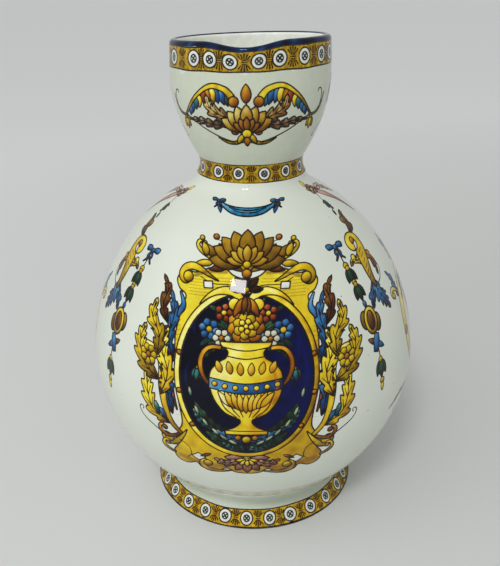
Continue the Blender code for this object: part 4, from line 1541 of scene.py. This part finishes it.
# %% [markdown]
# The outline is stored as a distance in millimetres to the edge of the nearest line, below zero inside it.
# A little noise moves that edge, as the tooth of the raw glaze does, and a loaded brush lets the ground
# show through here and there.

# %% Outlines, gloss and the wiped foot
gap = add_node(tree, "ShaderNodeAttribute", {}, "Fac", attribute_name="ink")
ragged = add_node(tree, "ShaderNodeMath", {0: noise[RAG_MM], 1: 0.34, 2: gap}, operation="MULTIPLY_ADD")
line_edge = {0: ragged, 1: 0.16, 2: 0.34, 3: 1.0, 4: 0.0}
in_ink = add_node(tree, "ShaderNodeMapRange", line_edge, interpolation_type="SMOOTHSTEP")
loaded = add_node(tree, "ShaderNodeMapRange", {0: noise[PEEL_MM], 1: 0.3, 2: 0.65, 3: 0.92, 4: 1.0})
inked = add_node(tree, "ShaderNodeMath", {0: in_ink, 1: loaded}, operation="MULTIPLY")
outline = add_node(tree, "ShaderNodeAttribute", {}, "Color", attribute_name="ink_colour")
with_lines = {0: inked, MIX_A: painted_ground, MIX_B: outline}
decorated = add_node(tree, "ShaderNodeMix", with_lines, MIX_OUT, data_type="RGBA")
above_floor = add_node(tree, "ShaderNodeSeparateXYZ", {0: place_on_pot}, "Z")
wiped = {0: above_floor, 1: 0.6 * BARE_BELOW_MM * MM, 2: BARE_BELOW_MM * MM, 3: 1.0, 4: 0.0}
bare = add_node(tree, "ShaderNodeMapRange", wiped)
with_clay = {0: bare, MIX_A: decorated, MIX_B: rgba(BUFF_CLAY)}
colour = add_node(tree, "ShaderNodeMix", with_clay, MIX_OUT, data_type="RGBA")
gloss = add_node(tree, "ShaderNodeMapRange", {0: noise[POOL_MM], 1: 0.3, 2: 0.7, 3: 0.02, 4: 0.06})
roughness = add_node(tree, "ShaderNodeMath", {0: bare, 1: 0.7, 2: gloss}, operation="MULTIPLY_ADD")
waves = add_node(tree, "ShaderNodeBump", {"Height": noise[WAVE_MM], "Strength": 0.35, "Distance": 0.22 * MM})
skin_of_glaze = {"Height": noise[PEEL_MM], "Normal": waves, "Strength": 0.25, "Distance": 0.03 * MM}
peel = add_node(tree, "ShaderNodeBump", skin_of_glaze)
finish = {"Base Color": colour, "Roughness": roughness, "Normal": peel, "Specular IOR Level": GLOSS_LEVEL}
glazed = add_node(tree, "ShaderNodeBsdfPrincipled", finish)
add_node(tree, "ShaderNodeOutputMaterial", {"Surface": glazed})
print(len(tree.nodes), "nodes in the glaze")

# %% [markdown]
# ## Sections into pieces
#
# Each section becomes a piece of its own, standing for the solid under it. The body's vertices get
# the true normals of the turned outline, so the joints between its meshes don't show in the gloss.

# %% Put a section in the scene


def close_cuts(mesh):
    """Fills the two flat sides of a wedge."""
    shape = bmesh.new()
    shape.from_mesh(mesh)
    bmesh.ops.holes_fill(shape, edges=[edge for edge in shape.edges if edge.is_boundary], sides=0)
    cut_ngons(shape)
    bmesh.ops.recalc_face_normals(shape, faces=shape.faces)
    shape.to_mesh(mesh)
    shape.free()


def lay_true_normals(mesh):
    """Each vertex on the skin gets the normal of the turned outline, so that joints don't show in the gloss."""
    normals = read(mesh.vertex_normals, "vector", 3)
    azimuth, arc, _, on_skin = on_the_map(vertex_table(mesh))
    azimuth = np.radians(azimuth[on_skin])
    out, down = (np.interp(arc[on_skin], skin_arc, np.gradient(row, skin_arc)) for row in (skin_height, skin_radius))
    length = np.hypot(out, down)
    normals[on_skin] = np.column_stack([out * np.sin(azimuth), -out * np.cos(azimuth), -down]) / length[:, None]
    mesh.normals_split_custom_set_from_vertices(normals)


def put_in_scene(name, data):
    thing = bpy.data.objects.new(name, data)
    bpy.context.scene.collection.objects.link(thing)
    return thing


SHARP_EDGE = math.radians(38)


def add_piece(name, mesh, node, slot):
    piece = put_in_scene(name, mesh)
    mesh.materials.append(glaze)
    mesh.shade_smooth()
    if slot == "body":
        lay_true_normals(mesh)
    else:
        mesh.set_sharp_from_angle(angle=SHARP_EDGE)
    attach(piece, "root")
    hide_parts(node)
    return piece


# %% [markdown]
# Painted light brightens the white inside the cup, and painted shade darkens the white outside it and turns it a little
# greener. Last, a full brush of cobalt goes round the edge of the rim while the pot turns.

# %% Painted shade and light on the cup, and its blue edge
# The first colour darkens the unpainted outside of the cup as painted shade; the third lightens the inside as painted
# light.
CUP_PAINTED_SHADE, CUP_SHADE_COVER, INSIDE_PAINTED_LIGHT, INSIDE_LIGHT_COVER, UNPAINTED = linear("b8c0a2"), 0.4, linear("fafcf4"), 0.65, 0.01
RIM_BLUE = tones("2c6490", "0e2850", "06142e", "020610")
BLUE_OUTSIDE_MM, BLUE_INSIDE_MM, RIM_LINE_GAP = 0.7, 0.9, 0.3


def paint_cup_shade_and_light(mesh):
    """Painted light on the unpainted white inside the cup, and painted shade, a little greener, on the unpainted white
    outside.
    """
    pigment_data = mesh.attributes["pigment"].data
    values, on_skin = read(pigment_data, "color", 4), on_the_map(vertex_table(mesh))[3]
    bare = values[:, 3] < UNPAINTED
    values[bare & on_skin] = (*CUP_PAINTED_SHADE, CUP_SHADE_COVER)
    values[bare & ~on_skin] = (*INSIDE_PAINTED_LIGHT, INSIDE_LIGHT_COVER)
    pigment_data.foreach_set("color", values.ravel())


def edge_with_blue(mesh):
    """The cobalt line drawn over the rounded edge of the rim."""
    table = vertex_table(mesh)
    azimuth, radius = round_the_axis(table)
    outside = radius > rim_radius - RIM_THICKNESS / 2
    down_to = np.where(outside, rim_turn - BLUE_OUTSIDE_MM, rim_top - BLUE_INSIDE_MM)
    rows = np.flatnonzero(table[:, 2] > down_to + waver(azimuth, (0.2, 7, 0), (0.12, 17, 0)) * outside)
    pigment_data, lines = mesh.attributes["pigment"].data, mesh.attributes["ink"].data
    share = 0.5 + 0.3 * mottle(azimuth[rows] * 0.6, table[rows, 2] * 2.0, 9.0)
    colours = read(pigment_data, "color", 4)
    colours[rows] = np.column_stack([blended(RIM_BLUE, share), np.ones(len(rows))])
    pigment_data.foreach_set("color", colours.ravel())
    gaps = read(lines, "value", 1)
    gaps[rows] = np.where(outside[rows, None], np.maximum(gaps[rows], RIM_LINE_GAP), FAR)
    lines.foreach_set("value", gaps.ravel())


# %% [markdown]
# Now every section gets its painting. The cut sides of the wedges are closed afterwards, so that each piece
# is a whole solid.

# %% Paint the sections
CUP_ORNAMENT_HEIGHT = 309.0
cup_marks = rim_band + place(cup_scrollwork(), -1.0, arc_at(CUP_ORNAMENT_HEIGHT))
for azimuth in (94.0, -95.0):
    cup_marks += place(cup_side(), azimuth, arc_at(CUP_ORNAMENT_HEIGHT), mirror=azimuth < 0)
paint(sections["foot"], foot_band)
for part in (*LOWER_WEDGES, *UPPER_WEDGES):
    paint(sections[part], body_marks)
    close_cuts(sections[part])
paint(sections["collar"], collar_band)
paint(sections["cup"], cup_marks)
# painted shade on the cup's outside and painted light inside it
paint_cup_shade_and_light(sections["cup"])
edge_with_blue(sections["cup"])
paint(strap_mesh, place(strap_ornament(strap_length), 0.0, 0.0), on_the_strap, settle=False)

# %% [markdown]
# The potter draws the pouring lip with a wet finger while the rim is still round: outwards and a little down.
# The rim also leans slightly. Both are done after the painting here, so the band follows the lip.

# %% Draw the pouring lip


def draw_lip(table):
    """The cup's vertices with the lip drawn out and down at the front."""
    turned_by = np.arctan2(table[:, 0], -table[:, 1]) - LIP_TURN
    half_angle = LIP_WIDTH / 2 / rim_radius
    climb = np.clip((table[:, 2] - (rim_top - LIP_DEPTH)) / LIP_DEPTH, 0, 1)
    strength = np.where(np.abs(turned_by) < half_angle, np.cos(turned_by / half_angle * math.pi / 2) ** 2, 0) * climb**2
    radius = np.hypot(table[:, 0], table[:, 1])
    drawn = table.copy()
    drawn[:, :2] *= (1 + LIP_PUSH * strength / np.maximum(radius, 1e-6))[:, None]
    drawn[:, 2] -= LIP_DIP * strength
    share = np.clip((drawn[:, 2] - (rim_top - RIM_LEAN_DEPTH)) / RIM_LEAN_DEPTH, 0, 1)
    toward = drawn[:, 0] * math.sin(RIM_LEAN_TURN) - drawn[:, 1] * math.cos(RIM_LEAN_TURN)
    drawn[:, 2] += RIM_LEAN * toward / rim_radius * share**2 * (3 - 2 * share)
    drawn[:, 2] = np.minimum(drawn[:, 2], cad_box[1][2] / MM)
    return drawn


set_vertices(sections["cup"], draw_lip(vertex_table(sections["cup"])))
pieces = [
    add_piece("foot_glazed", sections["foot"], "foot_ring", "foot_ring"),
    *(add_piece(f"body_{part}_glazed", sections[part], "body_lower", "body") for part in LOWER_WEDGES),
    *(add_piece(f"body_{part}_glazed", sections[part], "body_upper", "body") for part in UPPER_WEDGES),
    add_piece("collar_glazed", sections["collar"], "neck_collar", "neck_collar"),
    add_piece("cup_glazed", sections["cup"], "mouth_cup", "mouth_cup"),
    add_piece("handle_glazed", strap_mesh, "handle", "handle"),
]
print({piece.name: len(piece.data.polygons) for piece in pieces})

# %% [markdown]
# ## Stage, light and camera
#
# The pot stands on a pale grey sheet of paper, which is a wide disc here, so that its edge is never seen.
# Its grey is painted darker near a spot to the right of the pot, as painted shade, and paler away from it, as painted
# light.

# %% Stage
STAGE_RADIUS, STAGE_SIDES = 14.0, 96
# The sheet's grey carries painted shade near this spot and painted light far from it.
SHEET_SHADE_SPOT, SHEET_NEAR, SHEET_FAR = (0.6, 0.0, 0.0), 0.5, 1.6  # metres, the sheet grows paler away from that spot

paper = bpy.data.materials.new("pale_paper")
paper.use_nodes = True
sheet = paper.node_tree
on_sheet = add_node(sheet, "ShaderNodeTexCoord", {}, "Object")
away = add_node(sheet, "ShaderNodeVectorMath", {0: on_sheet, 1: SHEET_SHADE_SPOT}, "Value", operation="DISTANCE")
beyond = add_node(sheet, "ShaderNodeMapRange", {0: away, 1: SHEET_NEAR, 2: SHEET_FAR, 3: 0, 4: 1})
grey = {0: beyond, MIX_A: rgba(linear("d6d8d6")), MIX_B: rgba(linear("ecefee"))}
sheet_shade_and_light = add_node(sheet, "ShaderNodeMix", grey, MIX_OUT, data_type="RGBA")
sheet.links.new(sheet_shade_and_light, sheet.nodes["Principled BSDF"].inputs["Base Color"])
sheet.nodes["Principled BSDF"].inputs["Roughness"].default_value = 0.75

floor_shape = bmesh.new()
bmesh.ops.create_circle(floor_shape, cap_ends=True, segments=STAGE_SIDES, radius=STAGE_RADIUS)
floor_mesh = finished(floor_shape, "floor")
floor_mesh.materials.append(paper)
floor = put_in_scene("floor", floor_mesh)

# %% [markdown]
# One window-like lamp in front and above gives the highlight on the shoulder. A very broad, soft sun from the
# left lifts that side, and the world fills the rest.

# %% Light
ROOM_FILL, ROOM_SEEN = 0.43, 0.56  # the strength that lights the pot, and the one that the eye and the gloss see
world = bpy.data.worlds.new("soft_room")
bpy.context.scene.world = world
world.use_nodes = True
seen = add_node(world.node_tree, "ShaderNodeLightPath", {}, "Is Camera Ray")
mirrored_room = add_node(world.node_tree, "ShaderNodeLightPath", {}, "Is Glossy Ray")
shown = add_node(world.node_tree, "ShaderNodeMath", {0: seen, 1: mirrored_room}, operation="MAXIMUM")
strength = add_node(world.node_tree, "ShaderNodeMapRange", {0: shown, 1: 0, 2: 1, 3: ROOM_FILL, 4: ROOM_SEEN})
world.node_tree.links.new(strength, world.node_tree.nodes["Background"].inputs["Strength"])
world.node_tree.nodes["Background"].inputs["Color"].default_value = (1.0, 1.0, 1.0, 1.0)


POT_MIDDLE = (0, 0, 0.18)


def aim(data, azimuth, elevation, distance):
    """Puts a lamp at an azimuth and an elevation in degrees, looking at the pot."""
    lamp = put_in_scene(data.name, data)
    toward = Matrix.Rotation(math.radians(azimuth), 4, "Z") @ Matrix.Rotation(math.radians(90 - elevation), 4, "X")
    lamp.matrix_world = Matrix.Translation(POT_MIDDLE) @ toward @ Matrix.Translation((0, 0, distance))
    return lamp


window = bpy.data.lights.new("window", "AREA")
window.shape, window.size, window.size_y, window.energy = "RECTANGLE", 0.40, 0.26, 13
aim(window, azimuth=-12, elevation=46.5, distance=2.2)

daylight = bpy.data.lights.new("daylight_from_the_left", "SUN")
daylight.angle, daylight.energy = math.radians(70), 0.90
aim(daylight, azimuth=-39, elevation=43.5, distance=3.0).visible_glossy = False

# %% [markdown]
# The camera is close to the pot and looks down on it, so the foot seems narrow and the cup near. Its place and
# lens were found by fitting the outlines of the rim, the body and the foot.

# %% Camera
LENS, SENSOR = 30.08, 24.0
CAMERA_AZIMUTH, CAMERA_TILT, CAMERA_ROLL = math.radians(2.3), 0.416, -0.011
CAMERA_PLACE = (-0.00193, -0.5011, 0.3918)  # metres, before it is turned round the pot
camera_data = bpy.data.cameras.new("camera")
camera_data.sensor_fit, camera_data.sensor_height, camera_data.lens = "VERTICAL", SENSOR, LENS
camera = put_in_scene("camera", camera_data)
stand = Matrix.Translation(CAMERA_PLACE)
tilt = Matrix.Rotation(math.pi / 2 - CAMERA_TILT, 4, "X") @ Matrix.Rotation(CAMERA_ROLL, 4, "Z")
camera.matrix_world = Matrix.Rotation(CAMERA_AZIMUTH, 4, "Z") @ stand @ tilt
bpy.context.scene.camera = camera
bpy.context.scene.view_settings.view_transform = "Standard"
